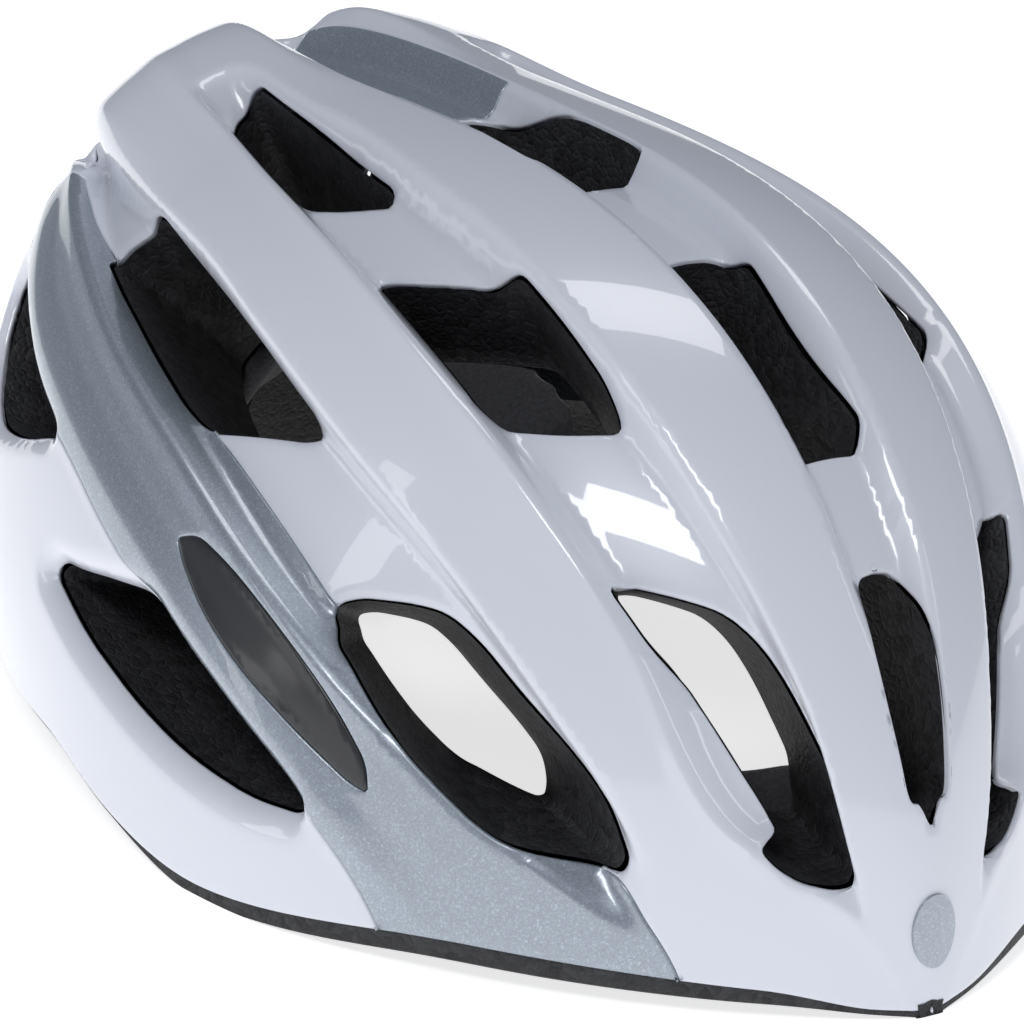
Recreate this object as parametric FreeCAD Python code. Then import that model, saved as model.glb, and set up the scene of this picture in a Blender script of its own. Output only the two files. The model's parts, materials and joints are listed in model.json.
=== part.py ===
"""Road cycling helmet in millimetres.

Front faces -Y, the wearer's left is +X, up is +Z. The origin is under the middle of the
helmet, on the level surface that its rim stands on.
"""
import FreeCAD, Part
import math
import os

V = FreeCAD.Vector

# --- driving dimensions -------------------------------------------------------------------
HALF_LENGTH = 146.0
HALF_WIDTH = 107.7
CROWN_Z = 135.8
FRONT_POLE_Z = -15.0
REAR_POLE_Z = 38.3
SKIRT_DEPTH = 93.7
FRONT_PLAN_POWER = 1.38
REAR_PLAN_POWER = 0.69
FRONT_RISE_POWER = 0.73
REAR_RISE_POWER = 0.09
ARCH_POWER = 0.94
BASE_Z = -12.0

SHELL_THICKNESS = 1.4
LINER_GAP = 0.1
CHANNEL_DEPTH = 8.0

CAVITY_HALF_WIDTH = 79.0
CAVITY_HALF_LENGTH = 113.5
CAVITY_CROWN_Z = 107.0
CAVITY_BASE_Z = -30.0

WEBBING_WIDTH = 15.0
WEBBING_THICKNESS = 1.5

# Hook-and-loop discs: a place on the inner wall and the way the disc faces
HOOK_DOT_RADIUS = 7.0
HOOK_DOT_PLACES = (((0, -100, 23), (0, -1, 0)), ((36, -88, 23), (0.5, -0.8, 0)),
                   ((-36, -88, 23), (-0.5, -0.8, 0)), ((0, -34, 90), (0, 0, 1)),
                   ((0, 34, 90), (0, 0, 1)), ((30, 0, 80), (0.3, 0, 1)), ((-30, 0, 80), (-0.3, 0, 1)),
                   ((60, 4, 49), (1, 0, 0)), ((-60, 4, 49), (-1, 0, 0)))

# Retention dial: pinion and racks
PINION_TEETH = 12
GEAR_MODULE = 0.75
PITCH_RADIUS = PINION_TEETH * GEAR_MODULE / 2
CRADLE_Y = 66.0
CRADLE_Z = 22.0
CRADLE_HALF_WIDTH = 40.0
CRADLE_HEIGHT = 27.0
TEMPLE_PIVOT = (62.0, -57.0, 26.0)

# Rib and band edges: roll angle round the helmet's long axis, in degrees from the crown,
# at these stations, in degrees from nose to tail.
STATIONS = (15, 30, 45, 60, 75, 90, 105, 120, 140)
EDGES = {
    "inner_rib_inside": (8, 10.8, 8, 6.7, 6.2, 5.8, 6.6, 7.7, 7),
    "inner_rib_outside": (48, 30, 24, 20.4, 17.8, 16.2, 14.6, 15, 16),
    "outer_rib_inside": (54, 57, 44.5, 37.8, 33.5, 30, 27.3, 25, 24),
    "outer_rib_outside": (84, 71, 58.2, 49.8, 45, 41, 38, 37.4, 38),
    "band_top": (84, 77.7, 72.2, 67.2, 62, 57, 53.8, 50, 45),
}

# Rim height of the liner, and how far the shells stop above it, from nose to tail.
RIM_STATIONS = (0, 12, 25, 50, 75, 88, 100, 130, 180)
LINER_RIM = (-1.0, 1.2, 3.4, 4.2, -0.8, 6, 12, 10, 10)
SHELL_STEP = (1.8, 1.2, 3.0, 4.2, 3.4, 1.0, 1.0, 1.0, 1.0)

# Vents on one side as (station, roll) corners; the middle ones as (station, half width in mm).
MIDDLE_VENTS = (
    ((15.7, 0), (16.4, 4.5), (25, 6.8), (33, 7), (36.7, 5.5)),
    ((47.3, 7), (48.5, 8.6), (58, 7.6), (69, 9.6), (71.4, 6)),
    ((86, 11.5), (88, 12.5), (97, 12), (106, 8.5), (108, 5)),
)
SIDE_VENTS = (
    ((50.2, 41), (46.7, 38), (41.8, 33.6), (38, 32.9), (34.2, 34.3), (27.1, 39.9), (21, 45.5),
     (19.7, 50), (20.2, 53.7), (23.1, 57), (26.2, 57.6), (29.3, 55.5), (35.5, 50.2), (42, 45.3)),
    ((57.8, 25), (60.7, 22.6), (66.9, 20.8), (74.5, 19.2), (76.5, 20.3), (83.7, 26.4), (87, 29),
     (77, 31.8), (67.4, 34.6), (65.6, 34.6), (61.4, 30.5)),
    ((94.1, 18), (108.8, 16.4), (123.3, 16.4), (124.4, 17.4), (123.5, 22.4), (116, 24),
     (102.8, 26.2), (98.6, 23.3)),
    ((71, 60.9), (68.9, 58.6), (64, 55.9), (61.4, 54.9), (58, 55.5), (53.1, 58), (46.7, 61.2),
     (41.8, 65.6), (39.5, 67.7), (40.2, 69.6), (44.2, 71), (48.7, 71.4), (51.3, 70.8),
     (55.6, 69), (62.5, 65.8), (68.7, 63)),
    ((119.6, 48.6), (119.6, 46), (117.1, 40), (113.9, 39), (106.4, 39.9), (94.3, 41.7),
     (83.2, 44.6), (79.6, 45.7), (79.2, 47), (80.6, 48.4), (91, 54.2), (95, 54), (102.8, 52.4),
     (112.8, 50.2)),
    ((103, 79.4), (101.4, 77), (97.7, 75.4), (88.3, 70.9), (85.8, 70.4), (81.6, 71.8),
     (74.5, 74), (68.3, 76.2), (65.9, 77.6), (66.9, 78.8), (71.6, 80.2), (78.7, 81),
     (86.1, 81), (95.7, 80.6)),
    ((107.9, 67), (116.8, 65.6), (127, 62.5), (137, 60.5), (141, 66), (138, 74), (127, 78),
     (117, 73.6)),
)
# Rear exhaust vents as (x, z) corners, cut along Y.
REAR_VENTS = (
    ((10, 74), (24, 74), (30, 96), (22, 108), (10, 110)),
    ((36, 72), (54, 70), (56, 80), (48, 98), (38, 100)),
    ((36, 36), (60, 34), (64, 48), (58, 54), (38, 54)),
)

# Silver band and lower shell outlines in side view, (y, z) from front to rear.
BAND_TOP_LINE = ((-127, 9), (-119, 17), (-111, 26), (-104, 27.5), (-97, 29), (-88, 35), (-77, 45),
                 (-62, 57), (-42, 71), (-10, 86), (26, 97), (60, 106), (92, 112), (112, 113))
BAND_LOW_LINE = ((-96, 0), (-86, 12), (-74, 23), (-64, 33), (-45, 46), (-28, 54), (-10, 62),
                 (14, 70), (35, 77), (62, 86), (84, 93), (98, 102), (112, 113))

SIDES = (("right", -1), ("left", 1))


# --- helpers ------------------------------------------------------------------------------
def interpolate(stations, values, at):
    """Smooth value between stations (monotone cubic, flat outside the ends)."""
    if at <= stations[0]:
        return values[0]
    if at >= stations[-1]:
        return values[-1]
    count = len(stations)
    steps = [stations[i + 1] - stations[i] for i in range(count - 1)]
    slopes = [(values[i + 1] - values[i]) / steps[i] for i in range(count - 1)]
    tangents = [slopes[0]]
    for i in range(1, count - 1):
        product = slopes[i - 1] * slopes[i]
        tangents.append(0.0 if product <= 0 else 2 * product / (slopes[i - 1] + slopes[i]))
    tangents.append(slopes[-1])
    i = max(k for k in range(count - 1) if stations[k] <= at)
    t = (at - stations[i]) / steps[i]
    first = values[i] * (1 + 2 * t) * (1 - t) ** 2 + tangents[i] * steps[i] * t * (1 - t) ** 2
    second = values[i + 1] * t * t * (3 - 2 * t) - tangents[i + 1] * steps[i] * t * t * (1 - t)
    return first + second


def ramp(value, start, end):
    """0 before start, 1 after end, smooth between."""
    t = min(1.0, max(0.0, (value - start) / (end - start)))
    return t * t * (3 - 2 * t)


def box(low, high):
    return Part.makeBox(high[0] - low[0], high[1] - low[1], high[2] - low[2], V(*low))


def cylinder(centre, direction, radius, length):
    return Part.makeCylinder(radius, length, V(*centre), V(*direction))


def rounded_box(low, high, radius, along):
    """A box with the four edges along one axis (0, 1 or 2) rounded."""
    solid = box(low, high)
    edges = []
    for edge in solid.Edges:
        span = edge.Vertexes[1].Point - edge.Vertexes[0].Point
        if abs(span[along]) > 0.99 * span.Length:
            edges.append(edge)
    return solid.makeFillet(radius, edges)


def prism(points, direction, length):
    """Straight solid over a closed polygon of vectors."""
    wire = Part.makePolygon(points + [points[0]])
    return Part.Face(wire).extrude(direction * length)


def mirror_x(shape):
    return shape.mirror(V(0, 0, 0), V(1, 0, 0))


def both_sides(shape):
    return [shape, mirror_x(shape)]


def compound(shapes):
    solids = []
    for shape in shapes:
        solids.extend(shape.Solids)
    return Part.makeCompound(solids)


def common(shape, other):
    return compound([shape.common(other)])


def cut(shape, others):
    return compound([shape.cut(others)])


# --- outer form ---------------------------------------------------------------------------
def section_sizes(theta, inset):
    """Half width, pole height, rise above it and skirt below it at one station."""
    sine = abs(math.sin(theta))
    share = (1 - math.cos(theta)) / 2
    blend = share * share * (3 - 2 * share)
    pole = FRONT_POLE_Z + (REAR_POLE_Z - FRONT_POLE_Z) * blend
    plan = FRONT_PLAN_POWER + (REAR_PLAN_POWER - FRONT_PLAN_POWER) * blend
    rise = FRONT_RISE_POWER + (REAR_RISE_POWER - FRONT_RISE_POWER) * blend
    tail = 1.0
    if math.cos(theta) < 0:
        tail = math.sqrt(1 - (1 - sine) ** 3)
    width = (HALF_WIDTH - inset) * sine ** plan
    height = (CROWN_Z - inset - pole) * sine ** rise * tail
    skirt = SKIRT_DEPTH * sine ** 0.6
    return width, pole, height, skirt


def envelope_point(theta, phi, inset=0.0):
    """Point on the smooth outer form; theta from nose to tail, phi rolled from the crown."""
    width, pole, height, skirt = section_sizes(theta, inset)
    sine, cosine = math.sin(phi), math.cos(phi)
    x = width * math.copysign(abs(sine) ** ARCH_POWER, sine)
    reach = height if cosine > 0 else -skirt
    z = pole + reach * abs(cosine) ** ARCH_POWER
    return V(x, -(HALF_LENGTH - inset) * math.cos(theta), z)


def edge_roll(name, station):
    return interpolate(STATIONS, EDGES[name], station)


def trough(roll, low, high):
    """Cross profile of a channel between two edges: flat floor and sloping walls."""
    if roll <= low or roll >= high:
        return 0.0
    wall = 0.36 * (high - low)
    return ramp(roll, low, low + wall) * ramp(high - roll, 0, wall)


def channel_depth(station, roll):
    """How far the channels between the ribs lie below the outer form."""
    roll = abs(roll)
    inside = edge_roll("inner_rib_inside", station)
    middle = trough(roll, -inside, inside) * ramp(station, 14, 22)
    second = trough(roll, edge_roll("inner_rib_outside", station),
                    edge_roll("outer_rib_inside", station))
    second *= ramp(station, 14, 30) * (1 - ramp(station, 122, 130))
    third = trough(roll, edge_roll("outer_rib_outside", station), edge_roll("band_top", station))
    third *= ramp(station, 34, 46)
    fade = 1 - ramp(station, 150, 168)
    return CHANNEL_DEPTH * fade * max(middle, second, third)


def base_roll(theta, inset):
    """Roll at which a section meets the flat base plane."""
    width, pole, height, skirt = section_sizes(theta, inset)
    if BASE_Z >= pole:
        share = min(1.0, (BASE_Z - pole) / height)
        return math.acos(share ** (1 / ARCH_POWER))
    share = min(0.98, (pole - BASE_Z) / skirt)
    return math.acos(-share ** (1 / ARCH_POWER))


def form_solid(inset, grooved=True):
    """Closed solid under the outer form, down to the base plane."""
    columns = 67
    stations = [3.2 + 173.2 * i / 53 for i in range(54)]
    rows = []
    for station in stations:
        theta = math.radians(station)
        limit = base_roll(theta, inset)
        row = []
        for j in range(columns):
            phi = limit * (2 * j / (columns - 1) - 1)
            point = envelope_point(theta, phi, inset)
            if grooved:
                depth = channel_depth(station, math.degrees(phi))
                if depth > 0:
                    ahead = envelope_point(theta, phi + 0.01, inset)
                    along = ahead - point
                    inward = V(along.z, 0, -along.x).normalize()
                    if inward.dot(V(-point.x, 0, 20 - point.z)) < 0:
                        inward = -inward
                    point = point + inward * depth
            row.append(V(point.x, point.y, BASE_Z) if j in (0, columns - 1) else point)
        rows.append(row)
    return close_grid(rows)


def grid_surface(rows):
    """Cubic surface with the grid of points as its control net."""
    surface = Part.BSplineSurface()
    knots, mults = [], []
    for count in (len(rows), len(rows[0])):
        knots.append([float(k) for k in range(count - 2)])
        mults.append([4] + [1] * (count - 4) + [4])
    surface.buildFromPolesMultsKnots(rows, mults[0], mults[1], knots[0], knots[1], False, False,
                                     3, 3)
    return surface.toShape()


def close_grid(rows):
    """Solid from a grid of points whose first and last columns lie in one level plane."""
    skin = grid_surface(rows)
    lines = [Part.makeLine(row[0], row[-1]) for row in (rows[0], rows[-1])]
    ends = {}
    for edge in skin.Edges:
        first, last = edge.valueAt(edge.FirstParameter), edge.valueAt(edge.LastParameter)
        if abs(first.y - last.y) < 1.0:
            ends["front" if first.y < 0 else "rear"] = edge
        else:
            ends["low" if first.x < 0 else "high"] = edge
    front = Part.Face(Part.Wire(Part.__sortEdges__([ends["front"], lines[0]])))
    rear = Part.Face(Part.Wire(Part.__sortEdges__([ends["rear"], lines[1]])))
    base = Part.Face(Part.Wire(Part.__sortEdges__([ends["low"], lines[0], ends["high"], lines[1]])))
    shell = Part.makeShell([skin, front, rear, base])
    shell.sewShape()
    solid = Part.makeSolid(shell)
    if solid.Volume < 0:
        solid.reverse()
    return solid


def cavity_solid(inset=0.0):
    """The head space, made smaller by inset; it runs below the base plane."""
    rows = []
    length = CAVITY_HALF_LENGTH - inset
    for i in range(33):
        theta = math.radians(9 + 162 * i / 32)
        sine = math.sin(theta)
        width = (CAVITY_HALF_WIDTH - inset) * sine ** 0.85
        height = (CAVITY_CROWN_Z - inset - CAVITY_BASE_Z) * sine ** 0.7
        row = []
        for j in range(41):
            phi = math.radians(-90 + 180 * j / 40)
            x = width * math.copysign(abs(math.sin(phi)) ** 0.95, math.sin(phi))
            z = CAVITY_BASE_Z + height * abs(math.cos(phi)) ** 0.9
            row.append(V(x, -length * math.cos(theta), CAVITY_BASE_Z if j in (0, 40) else z))
        rows.append(row)
    return close_grid(rows)


def under_rim(raised):
    """Everything below the rim line; raised adds the step between liner and shells."""
    points = []
    for k in range(61):
        station = 3.0 * k
        height = interpolate(RIM_STATIONS, LINER_RIM, station)
        if raised:
            height += interpolate(RIM_STATIONS, SHELL_STEP, station)
        points.append(V(-130, -HALF_LENGTH * math.cos(math.radians(station)) * 1.03, height))
    curve = Part.BSplineCurve()
    curve.interpolate(points)
    low_rear = V(-130, points[-1].y, -60)
    low_front = V(-130, points[0].y, -60)
    lines = [Part.makeLine(points[-1], low_rear), Part.makeLine(low_rear, low_front),
             Part.makeLine(low_front, points[0])]
    face = Part.Face(Part.Wire([curve.toShape()] + lines))
    level = box((-130, -160, -60), (130, 160, 0))
    return face.extrude(V(260, 0, 0)).fuse(level)


# --- vents --------------------------------------------------------------------------------
def outward(station, roll):
    theta, phi = math.radians(station), math.radians(roll)
    point = envelope_point(theta, phi)
    across = envelope_point(theta, phi + 0.02) - point
    along = envelope_point(theta + 0.02, phi) - point
    normal = across.cross(along)
    normal.normalize()
    if normal.dot(point - V(0, 0, 20)) < 0:
        normal = -normal
    return normal


def vent_cutter(corners, depth_in=58.0, depth_out=12.0):
    """Straight cutter through the wall over a closed run of (station, roll) corners."""
    count = len(corners)
    centre = (sum(c[0] for c in corners) / count, sum(c[1] for c in corners) / count)
    normal = outward(*centre)
    origin = envelope_point(math.radians(centre[0]), math.radians(centre[1]))
    points = []
    for station, roll in corners:
        point = envelope_point(math.radians(station), math.radians(roll), 5.0)
        flat = point - normal * (point - origin).dot(normal)
        points.append(flat - normal * depth_in)
    return prism(points, normal, depth_in + depth_out)


def middle_corners(half):
    """Full outline of a middle vent from its half outline."""
    outline = []
    for station, x in half:
        width = section_sizes(math.radians(station), 5.0)[0]
        roll = math.degrees(math.asin(min(1.0, (x / width)) ** (1 / ARCH_POWER)))
        outline.append((station, roll))
    back = [(station, -roll) for station, roll in reversed(outline) if roll > 0]
    return outline + back


def all_vents():
    """Every vent cutter, both sides."""
    cutters = [vent_cutter(middle_corners(half)) for half in MIDDLE_VENTS]
    for corners in SIDE_VENTS:
        cutters.extend(both_sides(vent_cutter(corners)))
    for corners in REAR_VENTS:
        points = [V(x, 92, z) for x, z in corners]
        cutters.extend(both_sides(prism(points, V(0, 1, 0), 70)))
    return cutters


# --- side view regions --------------------------------------------------------------------
def side_region(points, side):
    """Slab over a (y, z) outline, on one side of the helmet."""
    corners = [V(0, y, z) for y, z in points]
    return prism(corners, V(side, 0, 0), 130)


def band_region(side):
    return side_region(list(BAND_TOP_LINE) + list(reversed(BAND_LOW_LINE)), side)


def lower_region():
    """Lower sides and the whole back, both sides at once."""
    outline = [(y, z) for y, z in BAND_LOW_LINE]
    outline += [(125, 116), (160, 116), (160, -40), (-96, -40)]
    slab = side_region(outline, 1)
    return slab.fuse(mirror_x(slab)).removeSplitter()


def leaf_region(side):
    """Leaf-shaped inset in the band: two arcs between its tips, in side view."""
    rear, front = V(0, -15, 74.5), V(0, -72, 43)
    top = Part.Arc(rear, V(0, -49, 65.5), front).toShape()
    low = Part.Arc(front, V(0, -39, 54.5), rear).toShape()
    return Part.Face(Part.Wire([top, low])).extrude(V(130 * side, 0, 0))


# --- soft and strap parts -----------------------------------------------------------------
def webbing(points, width=WEBBING_WIDTH, thickness=WEBBING_THICKNESS):
    """Strap standing on edge along a smooth line through the points."""
    curve = Part.BSplineCurve()
    curve.interpolate([V(*p) for p in points])
    wires = []
    for k in range(15):
        at = curve.FirstParameter + (curve.LastParameter - curve.FirstParameter) * k / 14
        centre, along = curve.value(at), curve.tangent(at)[0]
        side = along.cross(V(0, 0, 1)).normalize() * (thickness / 2)
        up = V(0, 0, width / 2)
        corners = [centre + side + up, centre - side + up, centre - side - up, centre + side - up]
        wires.append(Part.makePolygon(corners + [corners[0]]))
    return Part.makeLoft(wires, True, True)


def pad_between(gap, inset, region):
    return common(cavity_solid(gap).cut(cavity_solid(inset)), region)


# --- retention ----------------------------------------------------------------------------
def pinion():
    """Pinion on the dial's shaft, teeth a little thin so that it runs free in the racks."""
    tip, root = PITCH_RADIUS + 0.6, PITCH_RADIUS - 0.95
    pitch = 2 * math.pi / PINION_TEETH
    points = []
    for k in range(PINION_TEETH):
        # a tooth points straight up and another straight down
        middle = math.pi / 2 + k * pitch
        for offset, radius in ((-0.34, root), (-0.13, tip), (0.13, tip), (0.34, root)):
            angle = middle + offset * pitch
            points.append(V(radius * math.cos(angle), CRADLE_Y + 4, CRADLE_Z
                            + radius * math.sin(angle)))
    gear = prism(points, V(0, 1, 0), 2.6)
    shaft = cylinder((0, CRADLE_Y + 6.6, CRADLE_Z), (0, 1, 0), 4.0, 4.6)
    return gear.fuse(shaft).removeSplitter()


def rack():
    """Left rack: it runs over the pinion, teeth down, with its gap over the upper tooth."""
    pitch = math.pi * GEAR_MODULE
    pitch_line = CRADLE_Z + PITCH_RADIUS
    bar = box((-12, CRADLE_Y + 3.8, pitch_line + 1.0), (40, CRADLE_Y + 6.8, pitch_line + 5.0))
    teeth = []
    for k in range(-4, 5):
        middle = (k + 0.5) * pitch
        points = []
        for offset, height in ((-0.30, 1.02), (-0.13, -0.55), (0.13, -0.55), (0.30, 1.02)):
            points.append(V(middle + offset * pitch, CRADLE_Y + 3.8, pitch_line + height))
        teeth.append(prism(points, V(0, 1, 0), 3.0))
    tab = rounded_box((36, CRADLE_Y + 3.8, pitch_line - 7.5), (43, CRADLE_Y + 6.8, pitch_line + 5),
                      1.5, 1)
    return bar.fuse(teeth + [tab]).removeSplitter()


def cradle_outline(y_low, y_high, grow=0.0):
    half = CRADLE_HALF_WIDTH + grow
    low = (-half, y_low, CRADLE_Z - CRADLE_HEIGHT / 2 - grow)
    high = (half, y_high, CRADLE_Z + CRADLE_HEIGHT / 2 + grow)
    return rounded_box(low, high, 6.0, 1)


def cradle_housing():
    body = cradle_outline(CRADLE_Y, CRADLE_Y + 7.4)
    lane = box((-60, CRADLE_Y + 3, CRADLE_Z - 10.4), (60, CRADLE_Y + 8, CRADLE_Z + 10.4))
    body = body.cut(lane)
    rails = []
    for side in (-1, 1):
        post = box((side * 8.2 - 1.4, CRADLE_Y - 3.4, CRADLE_Z - 11),
                   (side * 8.2 + 1.4, CRADLE_Y + 0.2, CRADLE_Z + 11))
        rails.append(post)
    for x in (-34, 34):
        for z in (CRADLE_Z - 11.9, CRADLE_Z + 11.9):
            body = body.cut(cylinder((x, CRADLE_Y + 2, z), (0, 1, 0), 0.9, 8))
    return body.fuse(rails).removeSplitter()


def cradle_cover():
    cover = cradle_outline(CRADLE_Y + 7.5, CRADLE_Y + 10)
    cover = cover.cut(cylinder((0, CRADLE_Y + 6, CRADLE_Z), (0, 1, 0), 5.0, 8))
    for x in (-34, 34):
        for z in (CRADLE_Z - 11.9, CRADLE_Z + 11.9):
            cover = cover.cut(cylinder((x, CRADLE_Y + 6, z), (0, 1, 0), 1.1, 8))
    return cover


def cover_screws():
    screws = []
    for x in (-34, 34):
        for z in (CRADLE_Z - 11.9, CRADLE_Z + 11.9):
            shank = cylinder((x, CRADLE_Y + 2.2, z), (0, 1, 0), 0.9, 7.8)
            head = cylinder((x, CRADLE_Y + 10, z), (0, 1, 0), 1.5, 1.0)
            slot = box((x - 1.2, CRADLE_Y + 10.6, z - 0.2), (x + 1.2, CRADLE_Y + 11.2, z + 0.2))
            screws.append(shank.fuse(head).removeSplitter().cut(slot))
    return compound(screws)


def dial_knob():
    """Knurled dial behind the cradle, on the pinion's shaft."""
    face_y = CRADLE_Y + 11.2
    knob = cylinder((0, face_y, CRADLE_Z), (0, 1, 0), 15.0, 8.6)
    rim = [edge for edge in knob.Edges if abs(edge.Length - 2 * math.pi * 15.0) < 0.1]
    knob = knob.makeFillet(1.6, rim)
    grips = []
    for k in range(16):
        angle = 2 * math.pi * k / 16
        centre = (16.1 * math.cos(angle), face_y - 1, CRADLE_Z + 16.1 * math.sin(angle))
        grips.append(cylinder(centre, (0, 1, 0), 2.0, 12))
    dish = Part.makeSphere(30, V(0, face_y + 37.2, CRADLE_Z))
    return knob.cut(grips + [dish])


def click_ring():
    """Sprung ring round the pinion in the cover's bore: it gives the dial its clicks."""
    ring = cylinder((0, CRADLE_Y + 7.6, CRADLE_Z), (0, 1, 0), 4.9, 2.2)
    return ring.cut(cylinder((0, CRADLE_Y + 7, CRADLE_Z), (0, 1, 0), 4.25, 4))


# --- buckle and dividers ------------------------------------------------------------------
BUCKLE_Y = -90.0
BUCKLE_Z = 10.0


def buckle_female():
    """Socket half, open towards the wearer's right."""
    body = rounded_box((0, BUCKLE_Y - 4.2, BUCKLE_Z - 9.5), (26, BUCKLE_Y + 4.2, BUCKLE_Z + 9.5), 2.5, 1)
    mouth = box((-1, BUCKLE_Y - 2.4, BUCKLE_Z - 7.6), (17, BUCKLE_Y + 2.4, BUCKLE_Z + 7.6))
    windows = [box((5, BUCKLE_Y - 2.4, BUCKLE_Z + side * 8.6 - 1.6),
                   (13, BUCKLE_Y + 2.4, BUCKLE_Z + side * 8.6 + 1.6)) for side in (-1, 1)]
    slot = box((20.2, BUCKLE_Y - 5, BUCKLE_Z - 8), (22.8, BUCKLE_Y + 5, BUCKLE_Z + 8))
    return body.cut([mouth, slot] + windows)


def buckle_male():
    """Latch half: a centre guide and two sprung arms with shoulders."""
    bar = rounded_box((-12, BUCKLE_Y - 4.2, BUCKLE_Z - 9.5), (-0.4, BUCKLE_Y + 4.2, BUCKLE_Z + 9.5),
                      2.5, 1)
    bar = bar.cut(box((-9.4, BUCKLE_Y - 5, BUCKLE_Z - 8), (-6.8, BUCKLE_Y + 5, BUCKLE_Z + 8)))
    guide = rounded_box((-1, BUCKLE_Y - 1.9, BUCKLE_Z - 1.5), (15.6, BUCKLE_Y + 1.9, BUCKLE_Z + 1.5),
                        1.0, 1)
    parts = [guide]
    for side in (-1, 1):
        arm = [(-1, 4.6), (6, 5.2), (12, 5.6), (13.4, 4.2), (11, 3.4), (-1, 3.0)]
        points = [V(x, BUCKLE_Y - 1.9, BUCKLE_Z + side * z) for x, z in arm]
        parts.append(prism(points, V(0, 1, 0), 3.8))
        shoulder = [(5.6, 5.0), (6.2, 7.2), (12, 5.8), (12, 5.0)]
        points = [V(x, BUCKLE_Y - 1.9, BUCKLE_Z + side * z) for x, z in shoulder]
        parts.append(prism(points, V(0, 1, 0), 3.8))
    return bar.fuse(parts).removeSplitter()


DIVIDER = (68.0, -30.0, 10.5)


def strap_divider():
    """Flat plate where the front, rear and chin straps meet, with ears for its cam lever."""
    x, y, z = DIVIDER
    plate = rounded_box((x - 5.4, y - 11, z - 9.5), (x - 3.4, y + 11, z + 9.5), 4.0, 0)
    for offset in (-6.5, 6.5):
        plate = plate.cut(box((x - 6, y + offset - 1.2, z - 6.6), (x - 3, y + offset + 1.2, z + 6.6)))
    ears = [box((x - 7.9, y - 2, z + side * 8.0 - 0.8), (x - 5.2, y + 2, z + side * 8.0 + 0.8))
            for side in (-1, 1)]
    pin_hole = cylinder((x - 6.7, y, z - 9), (0, 0, 1), 0.7, 18)
    return plate.fuse(ears).removeSplitter().cut(pin_hole)


def divider_pin():
    x, y, z = DIVIDER
    return cylinder((x - 6.7, y, z - 8.8), (0, 0, 1), 0.7, 17.6)


def divider_lever():
    """Cam lever on the divider's pin, closed along the strap."""
    x, y, z = DIVIDER
    barrel = cylinder((x - 6.7, y, z - 6.9), (0, 0, 1), 1.1, 13.8)
    blade = rounded_box((x - 7.7, y - 10.5, z - 6.9), (x - 6.3, y, z + 6.9), 3.0, 0)
    lever = barrel.fuse(blade).removeSplitter()
    return lever.cut(cylinder((x - 6.7, y, z - 9), (0, 0, 1), 0.75, 18))


# --- hidden seats in the liner's inner wall -------------------------------------------------
def hook_dots():
    """Hook-and-loop discs set flush in the liner's wall under the pads."""
    layer = cavity_solid(-0.8).cut(cavity_solid(0.2))
    discs = []
    for place, way in HOOK_DOT_PLACES:
        discs.append(common(layer, cylinder(place, way, HOOK_DOT_RADIUS, 30)))
    return compound(discs)


def front_strap_plug():
    return rounded_box((63.4, -66, 8), (74, -56, 21), 2.0, 0)


def rear_strap_plug():
    return rounded_box((64.8, 47, 14), (75, 59, 28), 2.0, 0)


def temple_plug():
    return cylinder(TEMPLE_PIVOT, (1, 0, 0), 4.0, 9.0)


def height_strip_plug():
    return rounded_box((-10, 61, 88), (10, 67, 97), 2.0, 1)


def temple_anchor():
    """Plug with a pin and a flat head that the end of the headband turns on."""
    x, y, z = TEMPLE_PIVOT
    shank = cylinder((x - 4.2, y, z), (1, 0, 0), 1.8, 5)
    head = cylinder((x - 5, y, z), (1, 0, 0), 3.2, 1.2)
    return temple_plug().fuse([shank, head]).removeSplitter()


# --- groups of parts ------------------------------------------------------------------------
def largest(shape):
    return max(shape.Solids, key=lambda solid: solid.Volume)


def plaque():
    """Thin oval badge on the nose."""
    region = Part.Face(Part.Wire(Part.Ellipse(V(0, 0, 0), 7.5, 5.0).toShape())).extrude(V(0, 0, 30))
    region.rotate(V(0, 0, 0), V(0, 1, 0), 90)
    region.rotate(V(0, 0, 0), V(0, 0, 1), 90)
    region.translate(V(0, -155, 18))
    return common(form_solid(-0.7, False).cut(form_solid(0.0)), region)


def shells(vents):
    """Outer and lower shells, silver bands with their insets, and the rear channel panel."""
    parts = {}
    skin = form_solid(0.0).cut([form_solid(SHELL_THICKNESS), under_rim(True)] + vents)
    channel = prism([V(-12, 47, 80), V(12, 47, 80), V(13, 110, 80), V(-13, 110, 80)], V(0, 0, 1), 80)
    panel = form_solid(0.0).cut(form_solid(SHELL_THICKNESS)).common(channel)
    parts["rear_channel_panel"] = cut(panel, vents)
    lower = lower_region()
    parts["lower_shell"] = common(skin, lower)
    bands = []
    for name, side in SIDES:
        region, leaf = band_region(side), leaf_region(side)
        bands.append(region)
        band_skin = skin.common(region)
        parts["side_band_" + name] = cut(band_skin, [leaf])
        parts["side_inset_" + name] = common(band_skin, leaf)
    parts["outer_shell"] = largest(skin.cut([lower, panel] + bands))
    parts["front_plaque"] = plaque()
    return parts


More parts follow.
